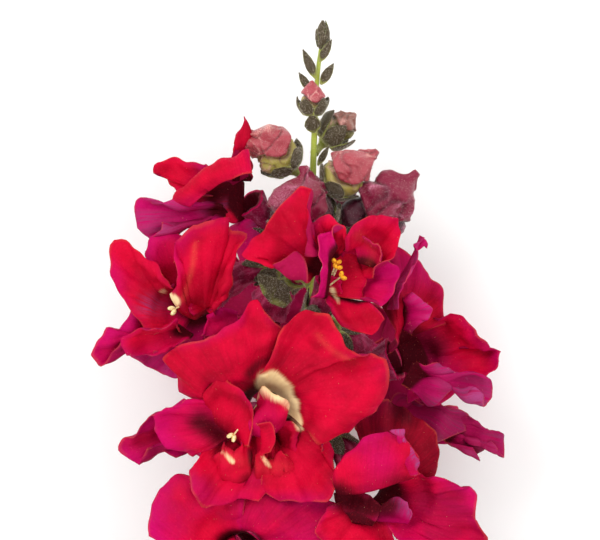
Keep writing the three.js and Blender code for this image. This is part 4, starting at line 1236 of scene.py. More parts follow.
@dataclass
class Bud:
    """A closed bud: a fat body under a hood whose two lips fold over each other."""

    name: str
    foot: Point
    tip: Point
    across: float
    tissue: Tissue
    hood_from: float = 0.55      # share of its length where the hood starts
    fold: float = 1.0            # turn about its line at which the lips meet
    beak: Point = (0, 0, 0)      # how far the hood's point is pulled aside
    crumple: float = 0.075       # relief, as a share of its width
    sepals: float = 0.42         # how far up it its sepals reach
    skin: Skin = field(default_factory=Skin)
    calyx: Skin = field(default_factory=Skin)

    def path(self) -> Path:
        """The bud's own line, bowed up a little."""
        foot, tip = array(self.foot), array(self.tip)
        sag = float(np.linalg.norm(tip - foot)) * 0.08
        return Path(through((self.foot, tuple((foot + tip) / 2 + array((0, 0, sag))), self.tip), 80))

    def radius(self, t: np.ndarray) -> np.ndarray:
        """Round and fat at a third of its length, narrower towards the closed tip."""
        swell = np.sin(math.pi * (0.06 + 0.91 * np.asarray(t)) ** 0.8) ** 0.7
        return self.across / 2 * swell

    def body(self) -> None:
        """Body and hood as one skin: the hood's lip overhangs the body, with a crease under it."""
        path = self.path()
        t, angle, full = ring_grid(np.linspace(0, 1, 60), 72)
        girth = self.radius(t) * full * (1 - 0.3 * ease(t, 0.7, 1.0))
        lip = self.hood_from + 0.14 * np.cos(angle - self.fold) + 0.05 * np.cos(3 * angle + 1)
        hood = ease(t - lip, -0.02, 0.03)
        crease = np.exp(-((t - lip + 0.03) / 0.035) ** 2)
        seam = np.exp(-(np.sin((angle - self.fold) / 2) / 0.1) ** 2) * hood
        girth = girth * (1 + 0.16 * hood * ease(t, 1.0, 0.75) - 0.1 * crease - 0.2 * seam)
        girth = girth * (1 + 0.05 * np.cos(4 * angle + 5 * t) * ease(t, 0.2, 0.6))
        rings = path.around(t * full, angle * full, np.maximum(girth, 0.15))
        out = unit(rings - path.point(t))
        relief = wobble(rings, self.across / 2.5, 5) - 1.3 * np.abs(wobble(rings, self.across / 1.8, 6))
        relief = relief + 0.35 * wobble(rings, self.across / 6, 8)
        ridges = 1 - 2.2 * np.abs(wobble(rings, self.across / 3, 12))
        creases = 1 - 2.2 * np.abs(wobble(rings, self.across / 2.6, 31))
        relief = relief + 0.6 * ease(ridges, 0.3, 1.0) - 0.8 * ease(creases, 0.4, 1.0)
        relief = relief * ease(t, 0.1, 0.5) * ease(t, 1.0, 0.85)
        rings += self.crumple * self.across * out * relief[..., None]
        rings += array(self.beak) * (ease(t, 0.5, 1.0) ** 1.3)[..., None]
        # painted shade in the crease under the hood's lip, along the seam where the lips meet and in the
        # creases; painted highlight along the ridges and on the raised relief, which the finish reads as its
        # pale value
        dark = 0.8 * crease + 0.7 * seam + 0.55 * ease(creases, 0.55, 0.98)
        light = ease(ridges, 0.45, 1.0) * ease(wobble(rings, self.across / 1.5, 44), -0.3, 0.6)
        light = np.clip(light + 0.3 * ease(relief, 0.3, 1.3), 0, 1) * ease(t, 0.15, 0.4)
        shade = {"hood": hood * full, "deep": np.clip(dark, 0, 1), "pale": light, "fuzz": full}
        self.skin.rings(rings, shade, [self.tissue])

    def build(self) -> list[bpy.types.Object]:
        """Make the bud and its calyx.

        Returns:
            The two objects.
        """
        self.body()
        made = self.skin.build(self.name + "_petals")
        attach(made, BODY)
        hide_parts(self.name + "_corolla")
        cup = Calyx(self.name, self.path(), self.radius, reach=self.sepals, spread=0.35, skin=self.calyx)
        return [made, cup.build()]


@dataclass
class Blade:
    """A leaf or bract: a bowed blade folded up along its midrib."""

    name: str
    foot: Point
    tip: Point
    width: float
    bow: float
    wall: float
    tissue: Tissue
    slot: str = "leaf"
    skin: Skin = field(default_factory=Skin)

    def build(self) -> bpy.types.Object:
        """Make the blade, with its veins raised and coloured.

        Returns:
            The blade's object.
        """
        foot, tip = array(self.foot), array(self.tip)
        side = unit(np.cross(UP, foot - tip))
        rows, cols = 60, 25
        t = np.linspace(0, 1, rows)[:, None]
        w = np.linspace(-1, 1, cols)[None, :]
        half = self.width / 2 * np.interp(t, (0, 0.18, 0.4, 0.65, 0.88, 1), (0.25, 0.75, 1, 0.85, 0.4, 0.06))
        grid = foot + (tip - foot) * t[..., None] + side * (w * half)[..., None]
        rise = self.bow * 4 * t * (1 - t) + np.abs(w) * half * 0.25
        big = self.width > 5
        rise = rise + (0.25 * np.sin(9 * t + 3 * w) * np.abs(w) if big else 0.0)
        grid = grid + rise[..., None] * UP
        midrib = np.exp(-(w / 0.07) ** 2) * np.ones_like(t)
        slant = np.abs(np.sin(math.pi * (9 * (t - 0.35 * np.abs(w)))))
        vein = np.clip(midrib + 0.6 * np.exp(-(slant / 0.16) ** 2) * ease(np.abs(w), 0.98, 0.8), 0, 1)
        grid = grid - (0.12 * vein * (self.width / 10))[..., None] * UP
        wall = self.wall * (1 - 0.6 * np.abs(w) ** 4) * np.ones_like(t)
        if float(np.cross(side, tip - foot)[2]) < 0:
            grid, vein = grid[:, ::-1], vein[:, ::-1]
        values = {"vein": vein, "green": 0.15 + 0.35 * np.abs(w) ** 4 + 0.5 * ease(t, 0.35, 0.0),
                  "fuzz": np.full_like(vein, 0.0 if big else 1.0)}
        self.skin.sheet(grid, wall, values, self.tissue)
        made = self.skin.build(self.name + "_blade")
        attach(made, BODY)
        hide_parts(self.name)
        return made


@dataclass
class TipBud:
    """The youngest buds at the tip of the spike, packed in scales."""

    path_points: tuple[Point, ...] = ((1.7, TIP_Y - 1.4, 0), (2, TIP_Y + 1.5, 0), (2, TIP_Y + 4.6, 0))
    girth: float = 1.35
    skin: Skin = field(default_factory=Skin)

    def build(self) -> bpy.types.Object:
        """A lumpy core wrapped in small pointed scales.

        Returns:
            The tip bud's object.
        """
        path = Path(through(self.path_points, 60))
        t, angle, full = ring_grid(np.linspace(0, 1, 26), 24)
        girth = self.girth * 0.85 * np.sin(math.pi * (0.12 + 0.81 * t)) * full
        self.skin.rings(path.around(t * full, angle * full, girth), {"green": 0.3 * full, "fuzz": full},
                        [Tissue.SEPAL])
        for k in range(TIP_SCALES):
            start = 0.02 + 0.07 * k
            s = np.linspace(0, 1, 14)[:, None]
            w = np.linspace(-1, 1, 9)[None, :]
            at = np.clip(start + 0.42 * s, 0, 1) + 0 * w
            turn = 2.4 * k + w * 0.75 * (1 - s ** 2) ** 0.8
            core = self.girth * 0.88 * np.sin(math.pi * (0.12 + 0.81 * at))
            grid = path.around(at, turn, core + 0.12 + 0.12 * s + 0.1 * (1 - np.abs(w)))
            self.skin.sheet(grid[:, ::-1], np.full(grid.shape[:2], 0.2),
                            {"green": (0.1 + 0.35 * ease(np.abs(w), 0.7, 1.0) + 0 * s)[:, ::-1],
                             "fuzz": np.ones(grid.shape[:2])}, Tissue.SEPAL)
        made = self.skin.build("tip_bud_scales")
        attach(made, BODY)
        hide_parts("tip_bud")
        return made


# ------------------------------------------------------------------------------ hairs and grains

class Sprout(Enum):
    """What grows from a surface."""

    HAIR = "hair"
    GRAIN = "grain"


def sprout_tree(sprout: Sprout) -> Tree:
    """Build the Geometry Nodes tree that covers a surface with hairs or grains.

    Args:
        sprout: hairs are thin cones that lean at random; grains are beads that lie on the skin.

    Returns:
        The tree, with named inputs.
    """
    tree = bpy.data.node_groups.new("Sprout " + sprout.value, "GeometryNodeTree")
    face = tree.interface
    face.new_socket("Geometry", in_out="INPUT", socket_type="NodeSocketGeometry")
    for name, value in (("Density", 1.0), ("Length", 0.001), ("Radius", 0.00003), ("Lean", 0.5)):
        face.new_socket(name, in_out="INPUT", socket_type="NodeSocketFloat").default_value = value
    face.new_socket("Where", in_out="INPUT", socket_type="NodeSocketString").default_value = "fuzz"
    face.new_socket("Seed", in_out="INPUT", socket_type="NodeSocketInt").default_value = 1
    face.new_socket("Material", in_out="INPUT", socket_type="NodeSocketMaterial")
    face.new_socket("Geometry", in_out="OUTPUT", socket_type="NodeSocketGeometry")
    given = add_node(tree, "NodeGroupInput").outputs
    where = add_node(tree, "GeometryNodeInputNamedAttribute", {"data_type": "FLOAT"},
                     {"Name": given["Where"]}).outputs["Attribute"]
    density = reckon(tree, "MULTIPLY", where, given["Density"])
    spread = add_node(tree, "GeometryNodeDistributePointsOnFaces", {},
                      {"Mesh": given["Geometry"], "Density": density, "Seed": given["Seed"]})
    if sprout is Sprout.HAIR:
        cone = add_node(tree, "GeometryNodeMeshCone", {"fill_type": "TRIANGLE_FAN"},
                        {"Vertices": 3, "Radius Bottom": given["Radius"], "Depth": given["Length"]})
        shape = cone.outputs["Mesh"]
    else:
        ball = add_node(tree, "GeometryNodeMeshIcoSphere", {}, {"Radius": given["Radius"], "Subdivisions": 1})
        shape = ball.outputs["Mesh"]
    minus = reckon(tree, "MULTIPLY", given["Lean"], -1.0)
    low = add_node(tree, "ShaderNodeCombineXYZ", {}, {i: minus for i in range(3)})
    high = add_node(tree, "ShaderNodeCombineXYZ", {}, {i: given["Lean"] for i in range(3)})
    lean = add_node(tree, "FunctionNodeRandomValue", {"data_type": "FLOAT_VECTOR"},
                    {0: low.outputs[0], 1: high.outputs[0], "Seed": given["Seed"]})
    turned = add_node(tree, "FunctionNodeRotateEuler", {"space": "LOCAL"},
                      {"Rotation": spread.outputs["Rotation"], 1: lean.outputs[0]})
    size = add_node(tree, "FunctionNodeRandomValue", {"data_type": "FLOAT"},
                    {2: 0.5, 3: 1.2, "Seed": given["Seed"]})
    copies = add_node(tree, "GeometryNodeInstanceOnPoints", {},
                      {"Points": spread.outputs["Points"], "Instance": shape,
                       "Rotation": turned.outputs[0], "Scale": size.outputs[1]})
    whole = add_node(tree, "GeometryNodeRealizeInstances", {}, {0: copies.outputs[0]})
    dressed = add_node(tree, "GeometryNodeSetMaterial", {},
                       {"Geometry": whole.outputs[0], "Material": given["Material"]})
    add_node(tree, "NodeGroupOutput", {}, {0: dressed.outputs[0]})
    return tree


@dataclass
class Down:
    """Hairs or grains over several skins, as one piece."""

    name: str
    tissue: Tissue
    density: float               # per square millimetre, where the skin's own value is 1
    length: float                # millimetres
    radius: float
    lean: float = 0.6
    where: str = "fuzz"
    sprout: Sprout = Sprout.HAIR
    seed: int = 7
    slot: str = "calyx"

    def build(self, skins: Sequence[Skin]) -> bpy.types.Object:
        """Grow the sprouts and keep them as a plain mesh.

        Args:
            skins: what they grow on.

        Returns:
            The object.
        """
        ground = skins[0].joined(skins[1:]).build(self.name + "_ground")
        tree = sprout_tree(self.sprout)
        modifier = ground.modifiers.new("sprouts", "NODES")
        modifier.node_group = tree
        settings = {"Density": self.density / MM ** 2, "Length": self.length * MM, "Radius": self.radius * MM,
                    "Lean": self.lean, "Where": self.where, "Seed": self.seed,
                    "Material": self.tissue.material()}
        for item in tree.interface.items_tree:
            if item.in_out == "INPUT" and item.name in settings:
                modifier[item.identifier] = settings[item.name]
        evaluated = ground.evaluated_get(bpy.context.evaluated_depsgraph_get())
        mesh = bpy.data.meshes.new_from_object(evaluated)
        mesh.name = self.name
        made = linked(self.name, mesh)
        bpy.data.objects.remove(ground)
        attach(made, BODY)
        return made


# ------------------------------------------------------------------------------ table, light and camera

@dataclass
class Studio:
    """A pale table, soft light from large panels, and the camera above."""

    table: str = "fbfbfa"
    table_size: float = 7.0
    panels: tuple[tuple[Point, float, float], ...] = (
        ((-0.8, 0.8, 1.2), 0.8, 10.0),
        ((0.9, 0.3, 1.2), 0.9, 4.5),
        ((0.1, -1.1, 1.2), 1.0, 3.0),
    )
    sky: float = 1.0

    def floor(self) -> None:
        """A matt table top with a very faint mottle."""
        material = bpy.data.materials.new("Matt white laminate")
        material.use_nodes = True
        tree = material.node_tree
        blotch = noise(tree, 60.0, 2.0)
        colour = mix(tree, scaled(tree, blotch, 0.05), self.table, "f2f1ef")
        shader = tree.nodes["Principled BSDF"]
        tree.links.new(colour, shader.inputs["Base Color"])
        shader.inputs["Roughness"].default_value = 0.9
        shader.inputs["Specular IOR Level"].default_value = 0.1
        half = self.table_size / 2
        mesh = bpy.data.meshes.new("table_top")
        mesh.from_pydata([(-half, -half, 0), (half, -half, 0), (half, half, 0), (-half, half, 0)], [],
                         [(0, 1, 2, 3)])
        mesh.materials.append(material)
        top = linked("table_top", mesh)

    def lights(self) -> None:
        """Three large panels and an even sky."""
        target = Vector((0, 0.09, 0.02))
        for number, (place, size, power) in enumerate(self.panels):
            light = bpy.data.lights.new(f"panel_{number}", "AREA")
            light.shape = "SQUARE"
            light.size = size
            light.energy = power
            lamp = linked(light.name, light)
            lamp.location = place
            lamp.rotation_euler = (target - Vector(place)).to_track_quat("-Z", "Y").to_euler()
            lamp.visible_camera = False
        world = bpy.data.worlds.new("Even sky")
        world.use_nodes = True
        ground = world.node_tree.nodes["Background"]
        ground.inputs[0].default_value = linear("ffffff")
        ground.inputs[1].default_value = self.sky
        bpy.context.scene.world = world

    def camera(self) -> None:
        """A long lens straight above the flowering part."""
        data = bpy.data.cameras.new("above")
        data.sensor_width = 36.0
        data.lens = data.sensor_width * VIEW_DISTANCE / VIEW_WIDTH
        data.clip_end = 20.0
        eye = linked("above", data)
        place = (array((*VIEW_CENTRE, VIEW_LEVEL + VIEW_DISTANCE)) + SHIFT) * MM
        eye.location = Vector(place)
        bpy.context.scene.camera = eye
        bpy.context.scene.view_settings.view_transform = "Standard"

    def build(self) -> None:
        """Set everything up."""
        self.camera()
        self.floor()
        self.lights()


# ------------------------------------------------------------------------------ this stem's pieces

BLOOMS: tuple[Bloom, ...] = (
    Bloom("bloom_centre", foot=(-1, -13, 6), throat=(-10, -28.5, 16), facing=(-0.1, -0.2, 1), mouth=7,
          petaloids=0, anthers=((-16, -33, 20),), pollen=Tissue.YOUNG_ANTHER,
          lobes=(
        Lobe(arc=(178, 98), lift=(0, 0, 3.5), flush=0.12, rim=((-27.6, -24.7, 21), (-28.3, -20.5, 22),
            (-31, -17.4, 23), (-25.5, -15, 25), (-19.5, -12.5, 26), (-15, -9.5, 26), (-10.5, -5.5, 24),
            (-7.5, -10, 23.5), (-4.5, -12.5, 23))),
        Lobe(arc=(92, 2), lift=(0, 0, 3.5), flush=0.08, rim=((-6, -11, 26), (-1.3, -7.7, 25),
            (3.4, -8.7, 24), (6.7, -14.6, 24), (9.4, -16.9, 23), (11.7, -16.2, 22), (14.6, -17.5, 21),
            (15.2, -24.5, 22), (13.4, -28.7, 21), (7.4, -32.7, 21), (1, -34, 21))),
        Lobe(arc=(-12, -78), lift=(0, 0, 2), flush=0.12, rim=((1.5, -33.5, 20), (4.6, -36.5, 19.5),
            (4.8, -42, 19.5), (3, -46, 19.5), (-2.5, -46.5, 20), (-10.5, -44.5, 20))),
        Lobe(arc=(-82, -140), lift=(0, 0, 2), flush=0.15, rim=((-7.5, -43.5, 20.5), (-11, -45.5, 21),
            (-16, -45.5, 20), (-19.5, -47, 19), (-22, -47.5, 18), (-24, -44, 19), (-25, -40, 19),
            (-22.5, -37.5, 19))),
        Lobe(arc=(-150, -188), lift=(0, 0, 3), flush=0.4, rim=((-23.5, -37.5, 17), (-29.5, -36, 19),
            (-32.5, -32, 20), (-32.5, -29, 21), (-29.5, -27, 21), (-24, -25.5, 20))),
          ),
          inner=(
        Lobe(base=((-20, -33, 14), (-14, -35, 15)), lift=(0, 0, 1), flush=0.1, depth=0.6,
            rim=((-22.5, -25, 22), (-19.5, -22, 24), (-15.2, -24.3, 24.5), (-12.4, -28.6, 24),
            (-12.8, -35, 22))),
        Lobe(base=((-12.5, -32.5, 19), (-9, -33, 21), (-5.5, -30.5, 19)), lift=(0, 0.8, 3.4), flush=0.5,
            depth=0.1, ruffle=0.9, rim=((-13.6, -29.5, 19), (-12.6, -25.4, 19), (-10.2, -22.6, 20),
            (-6.2, -23.4, 20.5), (-3.4, -27.4, 20))),
        Lobe(base=((-11.5, -31, 19), (-11, -37, 18)), flush=0.0, depth=0.2, ruffle=0.4,
            rim=((-11, -30, 24), (-8.5, -30, 25), (-7.8, -33, 24.5), (-8.5, -36, 24), (-10.5, -37, 22))),
        Lobe(base=((-19.5, -41, 17), (-15.5, -42.5, 17.5), (-12, -41, 17)), flush=0.0, depth=0.3,
            ruffle=1.1, rim=((-20.5, -38, 18.5), (-18.2, -34.8, 21.5), (-16.2, -37.4, 21),
            (-13.8, -35, 22), (-12.2, -38, 20))),
        Lobe(base=((-11.5, -42.5, 17), (-8, -43.2, 17.5), (-4, -41, 17)), flush=0.0, depth=0.3,
            ruffle=1.1, rim=((-12, -38.5, 20), (-10.2, -35.5, 22), (-8.6, -38.4, 21), (-6.2, -36, 22),
            (-3.6, -38.5, 19))),
        Lobe(base=((-8, -30.5, 15), (-6, -36.5, 15)), flush=0.2, depth=0.6, ruffle=1.0,
            rim=((-6.4, -30, 19.5), (-4, -31.2, 20.5), (-3.4, -34, 20), (-4.4, -37, 19))),
          ),
          spots=(
        Spot("pale", ((-8.4, -22.2, 16), (-6.8, -24, 16)), 3.1, 1.2),
        Spot("pale", ((-6.8, -24.4, 15.5), (-4.8, -27, 15.5)), 2.5, 1.1),
        Spot("pale", ((-4.4, -27, 17), (-2.6, -31, 17)), 1.4, 0.9),
        Spot("pale", ((-11.8, -26, 20), (-11.2, -25.2, 20)), 0.9, 0.7),
        # an orange line along the fold of the upper right lobe: rim down grows on it, and its colour is
        # partly a painted highlight along the crease
        Spot("edge", ((0.8, -12.6, 24), (4, -16, 24), (8.8, -18.6, 23)), 0.5, 0.5),
        Spot("edge", ((-18, -36.5, 21), (-13, -38.5, 22), (-6, -39, 22)), 1.6, 0.22),
        # painted shade in a gap between the palate's ridges
        Spot("deep", ((-12.4, -36, 20), (-12, -40, 20)), 1.0, 0.9),
        # painted shade in the hood of the throat, under the upper lip
        Spot("deep", ((-13, -20.5, 19), (-10, -18, 19), (-6.5, -18, 19)), 1.7, 0.8),
        Spot("pale", ((-17.8, -36.2, 21), (-16, -38, 21)), 0.9, 0.75),
        Spot("pale", ((-10, -37, 21), (-8.5, -39, 21)), 0.7, 0.6),
        # painted shade beside the throat
        Spot("deep", ((-22.5, -30, 17), (-19, -33, 16)), 3.2, 0.9),
          )),
    Bloom("bloom_left", foot=(-7, 1, 2), throat=(-25, -7, 8), facing=(-0.45, -0.25, 0.85), mouth=5.5,
          anthers=((-28, -8, 13),), petaloids=1, bract=((-5, -6.8, 10), (-11, -0.9, 11), 4.6),
          pollen=Tissue.YOUNG_ANTHER,
          lobes=(
        Lobe(arc=(235, 150), lift=(0, 0, 2), flush=0.2, rim=((-27, -10, 12), (-32, -11, 13),
            (-36, -7.5, 13), (-38.5, -4, 13), (-40.3, 0, 13), (-40.5, 5.7, 13), (-34.5, 1.5, 14),
            (-30.5, -1.5, 14), (-27.5, -4, 13))),
        Lobe(arc=(-80, -30), lift=(0, 0, 2), flush=0.1, rim=((-27, -5, 15), (-27.3, 2, 17),
            (-27.5, 6.5, 17), (-24, 9, 18), (-16.4, 10.8, 17), (-16.5, 8, 16), (-13.6, 7.5, 16),
            (-15.5, 3, 18), (-16, -3, 17), (-19.5, -8.5, 15))),
        Lobe(arc=(150, 80), flush=0.5, rim=((-31.5, -3, 9), (-33, 4, 9), (-32.5, 7, 8), (-29.5, 8.5, 8),
            (-26, 7.5, 8), (-23, 0, 9))),
        Lobe(base=((-27, -11, 9), (-24, -13, 9)), lift=(0, 0, 1), flush=0.45, rim=((-27, -10, 14),
            (-30.5, -12, 15), (-35, -13, 15), (-38.5, -13.5, 14), (-37.5, -17, 12), (-32, -17.5, 12),
            (-27, -15.5, 12))),
        Lobe(arc=(212, 240), lift=(0, 0, 0.5), flush=0.65, rim=((-36.5, -8, 9), (-39.5, -12, 8.5),
            (-42, -12.5, 8), (-45, -17, 6), (-43.5, -19.5, 5), (-39, -15, 8), (-34.5, -15, 8))),
        Lobe(base=((-24.5, -8.5, 5.5), (-20, -8, 4.5)), lift=(0, 0, -1), flush=0.8, lilac=0.3,
            rim=((-37, -17.5, 5), (-33.5, -20, 4), (-30.5, -21.5, 3), (-24, -21, 4))),
          ),
          inner=(
        Lobe(base=((-20, -14, 9), (-15, -14, 9)), flush=0.75, lift=(0, 0, 0.6), rim=((-21, -13, 12),
            (-21, -9.5, 13), (-18, -7.5, 13), (-14.5, -8.5, 12))),
          ),
          spots=(
        Spot("pale", ((-30, -5, 12), (-27.8, -6.2, 12)), 1.5),
        Spot("lilac", ((-33, -7, 12), (-29, -6.8, 12)), 2.0, 0.7),
        Spot("edge", ((-23.5, 5, 17), (-24, 1, 16), (-26, -6, 14)), 0.5, 0.7),
          )),
    Bloom("bloom_upper_left", foot=(-7, 6, -1), throat=(-16, 15.5, 4), facing=(-0.85, 0.2, 0.5), mouth=5,
          petaloids=0,
          lobes=(
        Lobe(base=((-14, 18, 2), (-14, 10, 3)), lift=(0, 0, 2), flush=0.3, depth=1.6, rim=((-21, 18.5, 4),
            (-26, 17.5, 4), (-28, 14, 4), (-25, 10, 4), (-18, 8.5, 3))),
        Lobe(base=((-16, 18, 5), (-12.5, 18, 2)), lift=(0, 0, 1), flush=0.25, rim=((-16.5, 23, 6),
            (-16, 27, 6), (-13, 31.5, 5), (-12.2, 27, 3), (-11.5, 22, 0), (-10.5, 20, -1))),
        Lobe(base=((-13, 19, 4), (-20, 15, 4)), mid=((-13, 24.5, 8), (-21.5, 20.5, 9), (-28.5, 14.5, 7)),
            flush=0.15, ruffle=0.3, curl=1.6, rim=((-12, 19.5, 11), (-15.5, 19, 13), (-21.5, 16, 13),
            (-25, 12.5, 11))),
        Lobe(base=((-18, 13.5, 0.5), (-18, 17.5, 0.5)), flush=0.3, rim=((-28, 15.5, 3), (-29.5, 18, 3),
            (-32, 19.5, 4), (-32, 21, 4), (-26.5, 21, 4), (-22, 21, 4))),
        Lobe(base=((-16.5, 11.2, 4), (-18.2, 12.8, 6.3)), lift=(0, 0, 1), flush=0.85, lilac=0.5,
            rim=((-24, 7.5, 6), (-30.5, 8.5, 7), (-33.5, 6.2, 6), (-36.3, 8.1, 6), (-36.8, 12, 6),
            (-33, 13, 8), (-27, 15, 9))),
        Lobe(base=((-17, 9, 1), (-15, 3, 1), (-13, -3, 0)), lift=(0, 0, 2.5), flush=0.8, lilac=1.0,
            ruffle=0.4, depth=0.2, rim=((-10.5, 12, 1), (-8.5, 6, 1), (-8, -2, 0))),
          ),
          spots=(
        Spot("lilac", ((-22, 12.5, 4), (-17, 14, 3), (-14, 16, 3)), 1.6, 0.8),
        # painted shade in the throat
        Spot("deep", ((-20, 15, 5), (-15, 17.5, 4)), 3.0, 0.9),
          )),
    Bloom("bloom_upper_right", foot=(0, -10, 4), throat=(6, -2, 15), facing=(0.35, 0, 0.9), mouth=5,
          anthers=((4.8, 0.6, 21), (5.8, -1.2, 21), (4.6, 1.6, 20.5)), petaloids=2,
          lobes=(
        Lobe(base=((1, -1, 16), (2, 2, 16)), lift=(0, 0, 2), flush=0.1, rim=((-3.5, 0.5, 22),
            (-8.5, 0.5, 24), (-14.5, 3, 22), (-10, 8.5, 25), (-6.5, 13, 26), (-2, 17, 25), (-1, 11, 25),
            (-1.5, 7, 24), (-0.5, 3.5, 22))),
        Lobe(base=((2.6, -6, 17), (3.4, -1, 19), (3.6, 2.5, 21), (5, 4.8, 22)), lift=(-0.5, 0, 0.5),
            flush=0.95, rim=((0.8, -6, 21), (0.8, -1, 23.5), (1, 3, 24.5), (2.8, 6, 25), (6.5, 6.8, 25))),
        Lobe(arc=(75, 10), lift=(0, 0, 2), flush=0.2, rim=((6.5, 6.5, 22), (9.5, 9.5, 23), (12, 11, 23),
            (17, 10.5, 20), (16, 3.5, 20), (12, 1, 19))),
        Lobe(arc=(5, -45), lift=(0, 0, 1), flush=0.6, rim=((13, 1.5, 19), (17, 0.5, 18), (16.5, -5, 18),
            (14.5, -8, 17), (11, -6.5, 17))),
        Lobe(base=((2.5, -5, 15), (10, -6.5, 14)), lift=(0, 1, 1), flush=0.3, rim=((3.5, -8.5, 20),
            (5.5, -11.5, 20), (11.5, -13, 18), (14.5, -10, 17))),
        Lobe(base=((3, 2, 15), (5, 2.5, 15)), lift=(0, 0, 1), flush=0.3, rim=((-2.5, 5.7, 21),
            (1, 10.5, 22), (3, 11, 23), (6, 8.5, 22), (6, 5.5, 21))),
          ),
          inner=(
        Lobe(base=((3, -5, 13), (3.5, 2, 13)), flush=0.2, depth=0.1, ruffle=0.7, lift=(0, 0, 1),
            rim=((10, -6, 15.5), (11, -1, 16), (9, 3, 16.5), (6, 4.5, 17))),
        Lobe(base=((9, 1.5, 18), (12.5, 0.5, 18)), flush=0.4, ruffle=1.0, tone=0.2, rim=((8, 4.5, 21.5),
            (10, 5.8, 22), (13, 4.2, 22), (14, 1.8, 21))),
          ),
          spots=(
        Spot("pale", ((4, -4, 15), (5, -7, 15)), 1.0, 0.6),
        Spot("edge", ((9, 7, 21), (12, 4, 20), (10.5, 0, 19)), 0.9, 0.2),
          )),
    Bloom("bloom_right", foot=(5, -24, 1), throat=(21.5, -16.5, 6), facing=(0.9, 0.25, 0.4), mouth=6,
          petaloids=0,
          lobes=(
        Lobe(arc=(150, 60), lift=(0, 0, 2), flush=0.3, tone=0.4, rim=((13, -7, 9), (15, 0, 9),
            (16.5, 5, 8), (19.5, 3.5, 8), (23.5, 0, 7), (26, -4, 6), (27, -11, 6))),
        Lobe(base=((15, -8, 11), (16.5, -3, 12), (19, 1, 12), (21, 5, 12)), lift=(0, 0, 0.5), flush=0.9,
            lilac=0.3, ruffle=1.3, curl=1.2, rim=((17.5, -8, 14), (18.5, -3, 14.5), (20.5, 1, 14),
            (21.6, 7.3, 13), (23.4, 4.9, 12.5))),
        Lobe(base=((17.5, -6, 8), (17.5, -12, 8)), lift=(0, 0, 2), flush=0.9, lilac=0.5, curl=2.2,
            tone=0.15, rim=((19.5, -4.6, 13), (22.8, -5.8, 13.5), (24.4, -7.5, 12.5), (23.2, -10.5, 12.5),
            (20, -12, 12))),
        Lobe(arc=(50, -50), lift=(0, 0, -1.5), flush=0.4, depth=2.2, tone=0.15, rim=((27, -11, 6),
            (28.5, -10.2, 7), (33, -12, 9), (36.5, -16.3, 9), (39, -16.2, 8), (38.5, -18.5, 8),
            (35, -22, 8), (31.5, -22, 8))),
        Lobe(base=((20, -18.5, 10), (18, -23, 8)), lift=(0, 0, 1), flush=0.8, lilac=0.6, tone=0.4,
            rim=((25, -19, 12), (33, -22, 11.5), (37, -24, 10), (36.5, -26, 10), (30, -24, 11),
            (23, -27, 10))),
        Lobe(base=((19, -23, 3), (21, -20, 3)), flush=0.4, tone=0.3, rim=((19, -27, 4), (25.5, -27.5, 3),
            (29, -25, 3), (30, -22, 3))),
          ),
          spots=(
        # painted shade in the throat
        Spot("deep", ((20, -14, 8), (24, -16, 7)), 4.0, 1.0),
          )),
    Bloom("bloom_lower_right", foot=(3, -34, 4), throat=(12, -45, 13), facing=(0.25, -0.25, 0.9), mouth=7,
          petaloids=0,
          lobes=(
        Lobe(base=((4.2, -44.6, 17.5), (9, -44.3, 19), (13, -43.4, 19), (17, -42, 19), (20.3, -41, 20)),
            lift=(0, 0, 1.5), flush=0.3, depth=0.3, rim=((3.4, -40, 21.5), (5.8, -35.8, 22.5),
            (9.4, -32.9, 24), (14.6, -31.6, 24), (17.8, -33, 24), (20.9, -37, 23), (20.8, -40.5, 22))),
        Lobe(base=((16.8, -33.5, 23.6), (18, -37.5, 23.4), (19.4, -40.6, 23)), lift=(0, 0, 0.8),
            flush=0.7, lilac=1.0, depth=0.0, curl=0.3, rim=((15, -31, 24.5), (18.2, -30.9, 25),
            (18.6, -34, 25), (21, -37.2, 24.4), (20.7, -40.8, 23.5))),
        Lobe(arc=(90, 20), lift=(0, 0, 1), flush=0.2, tone=0.6, rim=((7, -27.5, 12), (15, -25.5, 13),
            (18.5, -26.5, 13), (22, -29.5, 12), (24.5, -33, 12), (25.8, -39, 12), (24.5, -41.5, 12))),
        Lobe(arc=(10, -60), lift=(0, 0, 2), flush=0.4, tone=0.12, rim=((22, -41, 16), (26, -41.2, 17),
            (30.5, -44, 18), (33, -45.5, 17), (32.5, -50.5, 16), (35, -54, 14), (31, -58, 14),
            (24, -58, 15))),
        Lobe(arc=(-68, -150), lift=(0, 0, 2), flush=0.3, tone=0.1, rim=((19, -60, 17), (11, -60, 18),
            (4, -56, 18), (0, -52, 19), (3, -46.5, 18))),
          ),
          inner=(
        Lobe(base=((12.5, -50, 14), (19, -50.5, 14)), flush=0.8, lilac=1.0, depth=0.3, ruffle=0.6,
            trim=0.2, rim=((13.8, -47, 17), (16, -45.3, 18.5), (18.8, -45.8, 18.5), (20.2, -48.5, 17))),
        Lobe(base=((5, -50, 14), (12, -51, 14)), flush=0.4, depth=1.2, ruffle=0.9, trim=0.2, tone=0.4,
            rim=((3.8, -44.6, 15.5), (8.5, -43.6, 16), (11.5, -45.5, 16.5), (14, -47.5, 16.5))),
          ),
          spots=(
        # painted shade in the throat
        Spot("deep", ((4.5, -44.5, 17), (10, -47, 14), (15, -46.5, 14)), 3.6, 1.0),
          )),
    Bloom("bloom_far_right", foot=(5, -27, -4), throat=(17, -31, -3), facing=(0.9, -0.15, -0.2), mouth=5,
          petaloids=0,
          lobes=(
        Lobe(arc=(150, 60), lift=(0, 0, 1.5), flush=0.7, lilac=0.45, tone=0.5, depth=0.5,
            rim=((20, -37, 0), (25, -36, 0), (31.5, -32.5, -1), (32, -30, -1), (27, -27, 0),
            (22, -27.5, 1))),
